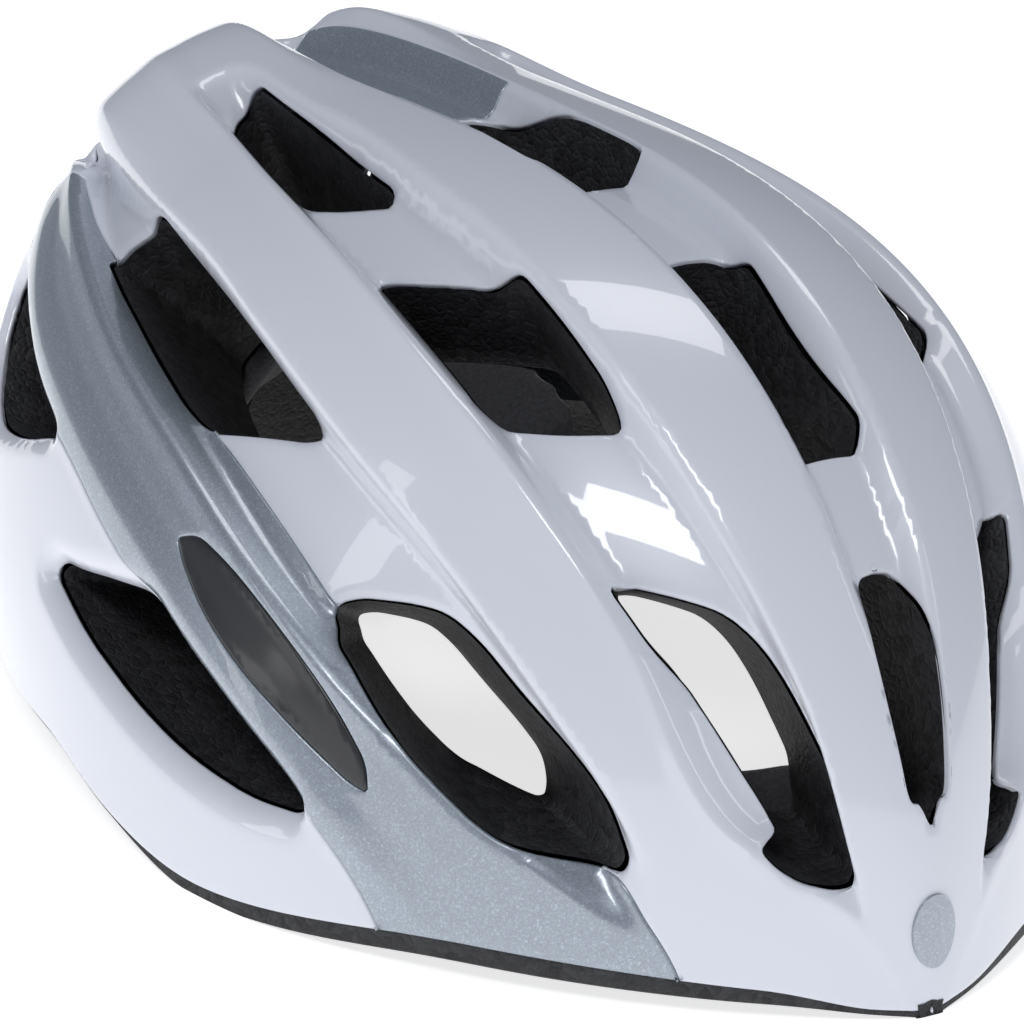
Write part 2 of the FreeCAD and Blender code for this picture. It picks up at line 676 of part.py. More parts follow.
def liner(vents):
    """Foam liner, with the discs and plugs that are let into its inner wall."""
    parts = {}
    dots = hook_dots()
    plugs = both_sides(front_strap_plug()) + both_sides(rear_strap_plug())
    plugs += both_sides(temple_plug()) + [height_strip_plug()]
    foam = form_solid(SHELL_THICKNESS + LINER_GAP)
    foam = foam.cut([cavity_solid(), under_rim(False)] + vents)
    parts["eps_liner"] = largest(foam.cut(plugs + [dots]))
    parts["pad_hook_dots"] = dots
    parts["front_strap_anchors"] = compound(both_sides(front_strap_plug()))
    parts["rear_strap_anchors"] = compound(both_sides(rear_strap_plug()))
    parts["temple_anchors"] = compound(both_sides(temple_anchor()))
    return parts


def padding():
    """Cloth-covered pads on the liner's inner wall."""
    parts = {}
    parts["brow_pad"] = pad_between(0.3, 6.5, box((-54, -125, 21), (54, -66, 37)))
    spine = box((-9, -62, 60), (9, 60, 140))
    crossbar = box((-40, -8, 60), (40, 8, 140))
    arms = [box((22, -44, 60), (38, 46, 140)), box((-38, -44, 60), (-22, 46, 140))]
    parts["crown_pad"] = pad_between(0.3, 6.0, spine.fuse([crossbar] + arms))
    for name, side in SIDES:
        low, high = sorted((side * 50, side * 90))
        parts["side_pad_" + name] = pad_between(0.3, 6.0, box((low, -26, 40), (high, 34, 58)))
        low, high = sorted((side * 16, side * 60))
        parts["rear_pad_" + name] = pad_between(0.3, 6.0, box((low, 62, 56), (high, 108, 76)))
    return parts


def straps():
    """Webbing, strap dividers with their levers, and the chin buckle."""
    parts = {}
    front = [(62.5, -60, 14.5), (62.6, -54, 13.2), (63.1, -47, 11.6), (63.6, -41.2, 10.5)]
    rear = [(63.9, 53, 20.5), (64.2, 36, 15), (65, 8, 11), (64.4, -8, 10.5), (63.6, -18.8, 10.5)]
    chin = [(61.6, -41.8, 10.3), (57.5, -55, 10.2), (46, -76, 10), (34, -87.5, 10)]
    for name, side in SIDES:
        parts["front_strap_" + name] = webbing([(side * x, y, z) for x, y, z in front])
        parts["rear_strap_" + name] = webbing([(side * x, y, z) for x, y, z in rear])
        for node, shape in (("strap_divider_", strap_divider()), ("divider_lever_", divider_lever()),
                            ("divider_pin_", divider_pin())):
            parts[node + name] = shape if side > 0 else mirror_x(shape)
    parts["chin_strap_left"] = webbing(chin + [(26.3, -90, 10)])
    inside_buckle = [(-24, -90, 10), (-18, -90, 10), (-12.3, -90, 10)]
    parts["chin_strap_right"] = webbing([(-x, y, z) for x, y, z in chin] + inside_buckle)
    parts["buckle_female"] = buckle_female()
    parts["buckle_male"] = buckle_male()
    ring = rounded_box((-17.6, -92.6, 0.6), (-14, -87.4, 19.4), 1.2, 0)
    parts["keeper_ring"] = ring.cut(box((-23, -91.3, 2.0), (-12, -88.7, 18.0)))
    return parts


def height_strip():
    """Strip that the cradle clips to, with a row of notches down each edge."""
    body = rounded_box((-6, CRADLE_Y - 2.4, 24), (6, CRADLE_Y - 0.9, 91), 1.5, 1)
    notches = []
    for side in (-1, 1):
        for z in range(28, 68, 4):
            notches.append(box((side * 6 - 0.8, CRADLE_Y - 3, z), (side * 6 + 0.8, CRADLE_Y, z + 1.2)))
    return body.cut(notches).fuse(height_strip_plug()).removeSplitter()


def headband(side):
    """Arm from a rack round to the temple pin."""
    run = [(43.6, CRADLE_Y + 5.3, 22), (50, 66, 22.4), (56, 50, 23.6), (59.4, 28, 25.5),
           (60.4, 0, 26.2), (60.2, -28, 26.2), (59.6, -46, 26), (59.2, -61.5, 26)]
    arm = webbing([(side * x, y, z) for x, y, z in run], 12.0, 1.3)
    hole = cylinder((side * 50, TEMPLE_PIVOT[1], TEMPLE_PIVOT[2]), (side, 0, 0), 1.9, 20)
    return arm.cut(hole)


def retention():
    """Cradle at the back of the head, its dial, racks and headband."""
    parts = {}
    parts["cradle_housing"] = cradle_housing()
    parts["cradle_cover"] = cradle_cover()
    parts["cover_screws"] = cover_screws()
    parts["dial_knob"] = dial_knob()
    parts["dial_pinion"] = pinion()
    parts["click_ring"] = click_ring()
    parts["rack_left"] = rack()
    turned = rack()
    turned.rotate(V(0, 0, CRADLE_Z), V(0, 1, 0), 180)
    parts["rack_right"] = turned
    pad = rounded_box((11, CRADLE_Y - 3.2, CRADLE_Z - 11), (37, CRADLE_Y - 0.2, CRADLE_Z + 11), 4.0, 1)
    parts["cradle_pad"] = compound(both_sides(pad))
    parts["height_strip"] = height_strip()
    for name, side in SIDES:
        parts["headband_" + name] = headband(side)
    return parts


def main():
    os.makedirs("parts", exist_ok=True)
    vents = all_vents()
    parts = {**shells(vents), **liner(vents), **padding(), **straps(), **retention()}
    for name, shape in parts.items():
        shape.exportStep("parts/" + name + ".step")


main()
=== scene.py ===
"""Road cycling helmet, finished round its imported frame.

Lengths of the helmet's form are in millimetres and are turned to metres when a mesh is made.
A place on the form is a (station, roll) pair in degrees: the station runs from the nose to
the tail, and the roll turns round the helmet's long axis from the crown line.
"""

import json
import math

import bmesh
import bpy
import numpy as np
from mathutils import Matrix, Vector
from mathutils.geometry import delaunay_2d_cdt
from mathutils.kdtree import KDTree


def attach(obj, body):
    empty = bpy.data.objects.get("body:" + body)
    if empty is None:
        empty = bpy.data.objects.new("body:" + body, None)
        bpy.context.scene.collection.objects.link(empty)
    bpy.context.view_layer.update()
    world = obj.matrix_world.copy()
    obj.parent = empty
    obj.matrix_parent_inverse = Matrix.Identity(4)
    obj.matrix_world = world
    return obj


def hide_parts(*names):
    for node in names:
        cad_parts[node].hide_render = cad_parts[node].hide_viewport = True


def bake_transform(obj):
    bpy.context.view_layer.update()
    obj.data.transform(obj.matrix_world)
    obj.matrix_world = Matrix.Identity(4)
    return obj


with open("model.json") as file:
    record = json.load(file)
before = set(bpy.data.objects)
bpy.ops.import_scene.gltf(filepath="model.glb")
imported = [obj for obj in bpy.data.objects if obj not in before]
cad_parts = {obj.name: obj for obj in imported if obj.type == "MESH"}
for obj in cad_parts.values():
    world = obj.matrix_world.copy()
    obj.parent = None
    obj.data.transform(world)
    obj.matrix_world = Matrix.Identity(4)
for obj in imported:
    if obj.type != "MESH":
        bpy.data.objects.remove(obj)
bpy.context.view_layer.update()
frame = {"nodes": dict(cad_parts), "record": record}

bl_info = {
    "name": "Road cycling helmet",
    "version": (1, 0, 0),
    "blender": (4, 5, 0),
    "location": "View3D > Sidebar > Helmet",
    "description": "Builds a vented road helmet with shells, foam liner, pads, straps and dial",
    "category": "Object",
}

MM = 0.001

# --- outer form ---------------------------------------------------------------------------
HALF_LENGTH = 146.0
HALF_WIDTH = 107.7
CROWN_Z = 135.8
FRONT_POLE_Z, REAR_POLE_Z = -15.0, 38.3
SKIRT_DEPTH = 93.7
PLAN_POWERS = (1.38, 0.69)
RISE_POWERS = (0.73, 0.09)
ARCH_POWER = 0.94
CHANNEL_DEPTH = 8.0

CAVITY_HALF_WIDTH = 79.0
CAVITY_HALF_LENGTH = 113.5
CAVITY_CROWN_Z = 107.0
CAVITY_BASE_Z = -30.0

STATIONS = (15, 30, 45, 60, 75, 90, 105, 120, 140)
RAILS = {
    "inner_rib_inside": (8, 10.8, 8, 6.7, 6.2, 5.8, 6.6, 7.7, 7),
    "inner_rib_outside": (48, 30, 24, 20.4, 17.8, 16.2, 14.6, 15, 16),
    "outer_rib_inside": (54, 57, 44.5, 37.8, 33.5, 30, 27.3, 25, 24),
    "outer_rib_outside": (84, 71, 58.2, 49.8, 45, 41, 38, 37.4, 38),
    "band_top": (84, 77.7, 72.2, 67.2, 62, 57, 53.8, 50, 45),
    "band_low": (90, 90, 86, 78, 71.2, 66.5, 63.4, 60.5, 52),
}
RIM_STATIONS = (0, 12, 25, 50, 75, 88, 100, 130, 180)
LINER_RIM = (-1.0, 1.2, 3.4, 4.2, -0.8, 6, 12, 10, 10)
SHELL_STEP = (1.8, 1.2, 3.0, 4.2, 3.4, 1.0, 1.0, 1.0, 1.0)

# Middle vents as (station, half width), the others as (station, roll) corners on one side.
MIDDLE_VENTS = {
    "a1": ((15.7, 0), (16.4, 4.5), (25, 6.8), (33, 7), (36.7, 5.5), (36.9, 0)),
    "a2": ((47.3, 0), (47.3, 7), (48.5, 8.6), (58, 7.6), (69, 9.6), (71.4, 6), (71.6, 0)),
    "a3": ((86, 0), (86, 11.5), (88, 12.5), (97, 12), (106, 8.5), (108, 5), (108.2, 0)),
}
SIDE_VENTS = {
    "b1": ((50.2, 41), (46.7, 38), (41.8, 33.6), (38, 32.9), (34.2, 34.3), (27.1, 39.9),
           (21, 45.5), (19.7, 50), (20.2, 53.7), (23.1, 57), (26.2, 57.6), (29.3, 55.5),
           (35.5, 50.2), (42, 45.3)),
    "b2": ((57.8, 25), (60.7, 22.6), (66.9, 20.8), (74.5, 19.2), (76.5, 20.3), (83.7, 26.4),
           (87, 29), (77, 31.8), (67.4, 34.6), (65.6, 34.6), (61.4, 30.5)),
    "b3": ((94.1, 18), (108.8, 16.4), (123.3, 16.4), (124.4, 17.4), (123.5, 22.4), (116, 24),
           (102.8, 26.2), (98.6, 23.3)),
    "c1": ((71, 60.9), (68.9, 58.6), (64, 55.9), (61.4, 54.9), (58, 55.5), (53.1, 58),
           (46.7, 61.2), (41.8, 65.6), (39.5, 67.7), (40.2, 69.6), (44.2, 71), (48.7, 71.4),
           (51.3, 70.8), (55.6, 69), (62.5, 65.8), (68.7, 63)),
    "c2": ((119.6, 48.6), (119.6, 46), (117.1, 40), (113.9, 39), (106.4, 39.9), (94.3, 41.7),
           (83.2, 44.6), (79.6, 45.7), (79.2, 47), (80.6, 48.4), (91, 54.2), (95, 54),
           (102.8, 52.4), (112.8, 50.2)),
    "d1": ((103, 79.4), (101.4, 77), (97.7, 75.4), (88.3, 70.9), (85.8, 70.4), (81.6, 71.8),
           (74.5, 74), (68.3, 76.2), (65.9, 77.6), (66.9, 78.8), (71.6, 80.2), (78.7, 81),
           (86.1, 81), (95.7, 80.6)),
    "d2": ((107.9, 67), (116.8, 65.6), (127, 62.5), (137, 60.5), (141, 66), (138, 74),
           (127, 78), (117, 73.6)),
    "e1": ((174.6, 27), (170.5, 49.5), (162, 37.5), (159.4, 23.4), (161.2, 12)),
    "e2": ((165.6, 60.2), (155.8, 67.9), (152.4, 61.2), (152.4, 48), (156.2, 41)),
    "e3": ((168.2, 93), (154.4, 93.4), (151.5, 83.9), (155.2, 79.7), (166.7, 76.8)),
}
# Silver band and the leaf-shaped inset in it.
BAND_OUTLINE = ((138, 44.5), (126, 47), (119, 48), (112, 49.8), (103, 51.8), (95, 53.6), (88, 54.2),
                (77, 57.6), (70, 60.8), (62.5, 65.3), (55.6, 68.5), (50, 70.6), (43, 70.6),
                (39, 70.2), (35, 73.5), (31.5, 79), (29.5, 100), (45, 110), (53, 92), (59, 81.5),
                (65.5, 77), (74.5, 73.6), (84.5, 70.3), (89, 69.9), (95.5, 68.4), (103, 66.6),
                (110, 66.2), (117, 64.9), (127, 61.8), (137, 58), (142, 50.5))
LEAF_OUTLINE = ((85, 63.6), (82.9, 62), (78.1, 62.3), (71.4, 64.2), (65.2, 67), (60.7, 70.6),
                (60, 73), (61.8, 73), (66.9, 71.6), (74.1, 69.6), (79.6, 67.4), (83.5, 65))
REAR_SEAM = ((142, 50.5), (147, 45), (153, 41), (156, 30), (157, 0))

# Rows of the mesh beside each rib edge, in millimetres to the outside of it.
CREASE_ROWS = {
    "inner_rib_inside": (-4.5, -3.0, -1.5, 0.0, 1.5),
    "inner_rib_outside": (0.0, 1.9, 3.8, 5.6, 7.5),
    "outer_rib_inside": (-3.2, -2.1, -1.1, 0.0, 1.2),
    "outer_rib_outside": (0.0, 1.9, 3.8, 5.6, 7.5),
    "band_top": (-4.0, -2.7, -1.3, 0.0, 1.3),
    "band_low": (-1.5, 0.0, 1.5),
}

# How each vent's edge rolls inwards: over how many millimetres, and how deep.
ROLLED_EDGES = {"d1": (5.0, 3.6), "d2": (5.0, 3.0), "e1": (4.0, 2.0), "e2": (4.0, 2.0),
                "e3": (4.0, 2.0), "b1": (2.5, 0.7), "b2": (2.5, 0.7), "b3": (2.5, 0.7),
                "c1": (2.5, 0.7), "c2": (2.5, 0.7)}
MM_PER_CHART_UNIT = 112

SPACING = 0.0125
LIP_RADIUS = 0.55
LIP_DEPTH = 1.5


def interpolate(stations, values, at):
    """Smooth value between stations (monotone cubic, flat outside the ends)."""
    stations = np.asarray(stations, float)
    values = np.asarray(values, float)
    steps = np.diff(stations)
    slopes = np.diff(values) / steps
    tangents = np.empty(len(values))
    tangents[0], tangents[-1] = slopes[0], slopes[-1]
    product = slopes[:-1] * slopes[1:]
    total = slopes[:-1] + slopes[1:]
    tangents[1:-1] = np.where(product > 0, 2 * product / np.where(product > 0, total, 1), 0)
    at = np.clip(np.asarray(at, float), stations[0], stations[-1])
    i = np.clip(np.searchsorted(stations, at, side="right") - 1, 0, len(steps) - 1)
    t = (at - stations[i]) / steps[i]
    first = values[i] * (1 + 2 * t) * (1 - t) ** 2 + tangents[i] * steps[i] * t * (1 - t) ** 2
    return first + values[i + 1] * t * t * (3 - 2 * t) - tangents[i + 1] * steps[i] * t * t * (1 - t)


def ramp(value, start, end):
    """0 before start, 1 after end, smooth between."""
    t = np.clip((np.asarray(value, float) - start) / (end - start), 0, 1)
    return t * t * (3 - 2 * t)


def section_sizes(theta, inset=0.0):
    sine = np.abs(np.sin(theta))
    share = (1 - np.cos(theta)) / 2
    blend = share * share * (3 - 2 * share)
    pole = FRONT_POLE_Z + (REAR_POLE_Z - FRONT_POLE_Z) * blend
    plan = PLAN_POWERS[0] + (PLAN_POWERS[1] - PLAN_POWERS[0]) * blend
    rise = RISE_POWERS[0] + (RISE_POWERS[1] - RISE_POWERS[0]) * blend
    tail = np.where(np.cos(theta) < 0, np.sqrt(1 - (1 - sine) ** 3), 1.0)
    sine = np.maximum(sine, 1e-6)
    return ((HALF_WIDTH - inset) * sine ** plan, pole, (CROWN_Z - inset - pole) * sine ** rise * tail,
            SKIRT_DEPTH * sine ** 0.6)


def smooth_form(theta, phi, inset=0.0):
    """Points of the outer form before anything is carved, angles in radians."""
    width, pole, height, skirt = section_sizes(theta, inset)
    sine, cosine = np.sin(phi), np.cos(phi)
    x = width * np.sign(sine) * np.abs(sine) ** ARCH_POWER
    reach = np.where(cosine > 0, height, -skirt)
    z = pole + reach * np.abs(cosine) ** ARCH_POWER
    y = -(HALF_LENGTH - inset) * np.cos(theta)
    return np.stack([x, y + 0 * x, z], axis=-1)


# --- flat chart ---------------------------------------------------------------------------
def chart_power(theta):
    return np.where(np.cos(theta) > 0, 0.8, 0.65)


def to_chart(station, roll):
    """Place on a flat disc centred on the crown, from degrees."""
    theta, phi = np.radians(station), np.radians(roll)
    even = np.arcsin(np.clip(np.sin(theta) ** chart_power(theta), 0, 1))
    even = np.where(np.cos(theta) > 0, even, math.pi - even)
    across, along, up = np.sin(even) * np.sin(phi), -np.cos(even), np.sin(even) * np.cos(phi)
    reach = np.arccos(np.clip(up, -1, 1))
    turn = np.arctan2(along, across)
    return np.stack([reach * np.cos(turn), reach * np.sin(turn)], axis=-1)


def from_chart(flat):
    """Angles theta and phi, in radians, of places on the disc."""
    flat = np.asarray(flat, float)
    reach = np.hypot(flat[..., 0], flat[..., 1])
    safe = np.maximum(reach, 1e-12)
    across = np.sin(reach) * flat[..., 0] / safe
    along = np.sin(reach) * flat[..., 1] / safe
    up = np.cos(reach)
    even = np.arccos(np.clip(-along, -1, 1))
    sine = np.sin(even) ** (1 / chart_power(even))
    theta = np.arcsin(np.clip(sine, 0, 1))
    theta = np.where(np.cos(even) > 0, theta, math.pi - theta)
    return theta, np.arctan2(across, up)


def rail(name, station):
    return interpolate(STATIONS, RAILS[name], station)


def inside_polygon(points, polygon):
    """Which points lie in a closed flat polygon."""
    x, y = points[:, 0], points[:, 1]
    result = np.zeros(len(points), bool)
    previous = polygon[-1]
    for corner in polygon:
        crosses = (corner[1] > y) != (previous[1] > y)
        slope = (previous[0] - corner[0]) / (previous[1] - corner[1] + 1e-18)
        result ^= crosses & (x < corner[0] + slope * (y - corner[1]))
        previous = corner
    return result


def round_corners(corners, radius, closed=True):
    """Corners turned to short curves; a gentle bend is rounded over its whole length."""
    count = len(corners)
    points = []
    for i in range(count):
        here = corners[i]
        if not closed and i in (0, count - 1):
            points.append(here)
            continue
        before, after = corners[i - 1], corners[(i + 1) % count]
        to_before, to_after = before - here, after - here
        size_before, size_after = np.linalg.norm(to_before), np.linalg.norm(to_after)
        cosine = np.dot(to_before, to_after) / (size_before * size_after)
        reach = 0.48 * min(size_before, size_after)
        if cosine > -0.75:
            reach = min(reach, radius)
        start = here + to_before / size_before * reach
        end = here + to_after / size_after * reach
        for t in (0, 0.17, 0.34, 0.5, 0.66, 0.83, 1):
            points.append((1 - t) ** 2 * start + 2 * t * (1 - t) * here + t * t * end)
    return np.array(points)


def even_steps(points, step, closed=True):
    """The same line with points an even step apart."""
    line = np.vstack([points, points[:1]]) if closed else points
    lengths = np.concatenate([[0], np.cumsum(np.linalg.norm(np.diff(line, axis=0), axis=1))])
    count = max(4, int(round(lengths[-1] / step)))
    marks = np.linspace(0, lengths[-1], count + 1)
    if closed:
        marks = marks[:-1]
    return np.stack([np.interp(marks, lengths, line[:, k]) for k in (0, 1)], axis=-1)


def outline(corners, radius=0.035, step=SPACING * 0.7, closed=True):
    flat = to_chart(*np.array(corners, float).T)
    return even_steps(round_corners(flat, radius, closed), step, closed)


def middle_outline(half):
    """Open half outline of a middle vent, from the front of the centre line to its back."""
    corners = []
    for station, x in half:
        width = section_sizes(math.radians(station), 5.0)[0]
        corners.append((station, math.degrees(math.asin((x / width) ** (1 / ARCH_POWER)))))
    flat = to_chart(*np.array(corners, float).T)
    flat[0, 0] = flat[-1, 0] = 0.0
    line = even_steps(round_corners(flat, 0.03, False), SPACING * 0.7, False)
    line[0, 0] = line[-1, 0] = 0.0
    return line


def rim_height(station, raised):
    height = interpolate(RIM_STATIONS, LINER_RIM, station)
    return height + raised * interpolate(RIM_STATIONS, SHELL_STEP, station)


def rim_line(turns, raised):
    """Chart places of the rim at each turn round the crown."""
    low, high = np.full(len(turns), 0.6), np.full(len(turns), 2.6)
    for _ in range(40):
        middle = (low + high) / 2
        flat = np.stack([middle * np.cos(turns), middle * np.sin(turns)], axis=-1)
        theta, phi = from_chart(flat)
        above = smooth_form(theta, phi)[:, 2] > rim_height(np.degrees(theta), raised)
        low, high = np.where(above, middle, low), np.where(above, high, middle)
    return np.stack([low * np.cos(turns), low * np.sin(turns)], axis=-1)


# --- carving ------------------------------------------------------------------------------
def roll_scale(theta, phi):
    """Millimetres along the surface for one degree of roll."""
    step = 0.01
    move = smooth_form(theta, phi + step) - smooth_form(theta, phi - step)
    return np.linalg.norm(move, axis=-1) / math.degrees(2 * step)


def trough(roll, low, high, scale, wall_low, wall_high):
    """Cross profile of a channel: walls of given widths in millimetres, flat between."""
    width = np.maximum((high - low) * scale, 0.01)
    shrink = np.minimum(1.0, width / (wall_low + wall_high + 1.0))
    rise = ramp((roll - low) * scale, 0, wall_low * shrink)
    fall = ramp((high - roll) * scale, 0, wall_high * shrink)
    return rise * fall


def tent(roll, centre, scale, reach):
    """1 on a line, falling to 0 at a distance from it, just rounded at the top."""
    away = np.abs(roll - centre) * scale
    return np.clip(1 - np.sqrt(away ** 2 + 0.8 ** 2) / reach, 0, 1)


def carve_depth(theta, phi):
    """How far the surface lies under the smooth form, in millimetres."""
    station, roll = np.degrees(theta), np.abs(np.degrees(phi))
    scale = roll_scale(theta, phi)
    inside = rail("inner_rib_inside", station)
    middle = trough(roll, -inside, inside, scale, 4.5, 4.5) * ramp(station, 13.6, 17.5)
    second = trough(roll, rail("inner_rib_outside", station), rail("outer_rib_inside", station),
                    scale, 7.5, 3.2)
    second *= ramp(station, 14, 26) * (1 - ramp(station, 123, 129))
    third = trough(roll, rail("outer_rib_outside", station), rail("band_top", station),
                   scale, 7.5, 4.0)
    third *= ramp(station, 35, 45)
    tail = 1 - ramp(station, 147, 153)
    depth = CHANNEL_DEPTH * np.maximum(np.maximum(middle, second), third) * tail
    depth -= 1.1 * tent(roll, rail("band_low", station), scale, 8) * ramp(station, 48, 62) * tail
    depth -= 0.6 * tent(roll, rail("band_top", station), scale, 5) * ramp(station, 44, 52) * tail
    depth -= 0.5 * tent(roll, rail("outer_rib_inside", station), scale, 5) * tail
    wing = ramp((roll - inside) * scale, -1, 5)
    wing *= 1 - ramp((roll - rail("outer_rib_outside", station)) * scale, -4, 4)
    depth -= 5.0 * wing * ramp(station, 112, 144) * (1 - ramp(station, 149, 152.5))
    depth += 7.0 * wing * ramp(station, 149, 152.5) * (1 - ramp(station, 158, 172))
    return depth


def carved_form(theta, phi, extra=0.0):
    """Points of the finished outer surface."""
    point = smooth_form(theta, phi)
    along = smooth_form(theta, phi + 0.01) - smooth_form(theta, phi - 0.01)
    inward = np.stack([along[:, 2], np.zeros(len(point)), -along[:, 0]], axis=-1)
    inward /= np.maximum(np.linalg.norm(inward, axis=1, keepdims=True), 1e-9)
    towards = np.stack([-point[:, 0], np.zeros(len(point)), 20 - point[:, 2]], axis=-1)
    inward *= np.sign(np.sum(inward * towards, axis=1, keepdims=True) + 1e-12)
    return point + inward * (carve_depth(theta, phi) + extra)[:, None]


# --- charted surfaces ---------------------------------------------------------------------
def hex_points(low, high, step):
    rows = np.arange(low[1], high[1], step * math.sqrt(3) / 2)
    columns = np.arange(low[0], high[0], step)
    grid = np.stack(np.meshgrid(columns, rows), axis=-1)
    grid[1::2, :, 0] += step / 2
    return grid.reshape(-1, 2)


def triangulate(boundary, loops, lines, spacing):
    """Even triangles in a closed flat boundary, with edges on every loop and line."""
    points, edges = [], []

    def add(line, closed):
        start = len(points)
        points.extend(line.tolist())
        count = len(line)
        for k in range(count if closed else count - 1):
            edges.append((start + k, start + (k + 1) % count))

    add(boundary, True)
    for loop in loops:
        add(loop, True)
    for line in lines:
        add(line, False)
    tree = KDTree(len(points))
    for k, point in enumerate(points):
        tree.insert((point[0], point[1], 0), k)
    tree.balance()
    grid = hex_points(boundary.min(axis=0), boundary.max(axis=0), spacing)
    grid = grid[inside_polygon(grid, boundary)]
    for place in grid:
        if tree.find((place[0], place[1], 0))[2] > spacing * 0.62:
            points.append(place.tolist())
    result = delaunay_2d_cdt([Vector(p) for p in points], edges, [], 0, 1e-7)
    flat = np.array([tuple(v) for v in result[0]])
    faces = np.array(result[2])
    one, two = flat[faces[:, 1]] - flat[faces[:, 0]], flat[faces[:, 2]] - flat[faces[:, 0]]
    clockwise = one[:, 0] * two[:, 1] < one[:, 1] * two[:, 0]
    faces[clockwise] = faces[clockwise][:, ::-1]
    centres = flat[faces].mean(axis=1)
    return flat, faces[inside_polygon(centres, boundary)]


def edge_table(faces):
    """Directed edges with no partner: the borders of a run of triangles."""
    table = {}
    for face in faces:
        count = len(face)
        for k in range(count):
            table[(face[k], face[(k + 1) % count])] = True
    return [edge for edge in table if (edge[1], edge[0]) not in table]


def vertex_normals(points, faces):
    normals = np.zeros_like(points)
    a, b, c = (points[faces[:, k]] for k in range(3))
    cross = np.cross(b - a, c - a)
    for k in range(3):
        np.add.at(normals, faces[:, k], cross)
    return normals / np.maximum(np.linalg.norm(normals, axis=1, keepdims=True), 1e-12)


def add_lip(points, faces, profile):
    """Turn every border inwards along a profile of (outward, down) steps in millimetres."""
    borders = edge_table(faces.tolist())
    normals = vertex_normals(points, faces)
    outward = np.zeros_like(points)
    for a, b in borders:
        side = np.cross(points[b] - points[a], normals[a] + normals[b])
        side /= max(np.linalg.norm(side), 1e-12)
        outward[a] += side
        outward[b] += side
    ring = sorted({a for a, _ in borders} | {b for _, b in borders})
    index = np.array(ring)
    outward = outward[index] / np.maximum(np.linalg.norm(outward[index], axis=1, keepdims=True), 1e-9)
    down = -normals[index]
    place = {vertex: k for k, vertex in enumerate(ring)}
    base = points[index].copy()
    result = [points.copy()]
    result[0][index] = base + outward * profile[0][0] + down * profile[0][1]
    all_faces = [tuple(face) for face in faces.tolist()]
    count, previous = len(points), None
    for out, deep in profile[1:]:
        result.append(base + outward * out + down * deep)
        for a, b in borders:
            low_a, low_b = place[a] + count, place[b] + count
            high_a, high_b = (a, b) if previous is None else (place[a] + previous, place[b] + previous)
            all_faces.append((high_b, high_a, low_a, low_b))
        previous = count
        count += len(index)
    return np.vstack(result), all_faces


def mirrored(points, faces, seam):
    """The half and its mirror image, joined where the seam mask is set."""
    count = len(points)
    partner = np.where(seam, np.arange(count), np.cumsum(~seam) - 1 + count)
    other = points[~seam] * (-1, 1, 1)
    turned = partner[faces][:, ::-1]
    return np.vstack([points, other]), np.vstack([faces, turned])


def make_object(name, points, faces, smooth=True):
    """Mesh object from points in millimetres."""
    mesh = bpy.data.meshes.new(name)
    mesh.from_pydata((np.asarray(points) * MM).tolist(), [], [tuple(face) for face in faces])
    mesh.validate()
    mesh.update()
    piece = bpy.data.objects.new(name, mesh)
    bpy.context.scene.collection.objects.link(piece)
    if smooth:
        mesh.shade_smooth()
    return piece


def compact(points, faces):
    used = np.unique(faces)
    lookup = np.full(len(points), -1)
    lookup[used] = np.arange(len(used))
    return points[used], lookup[faces], used


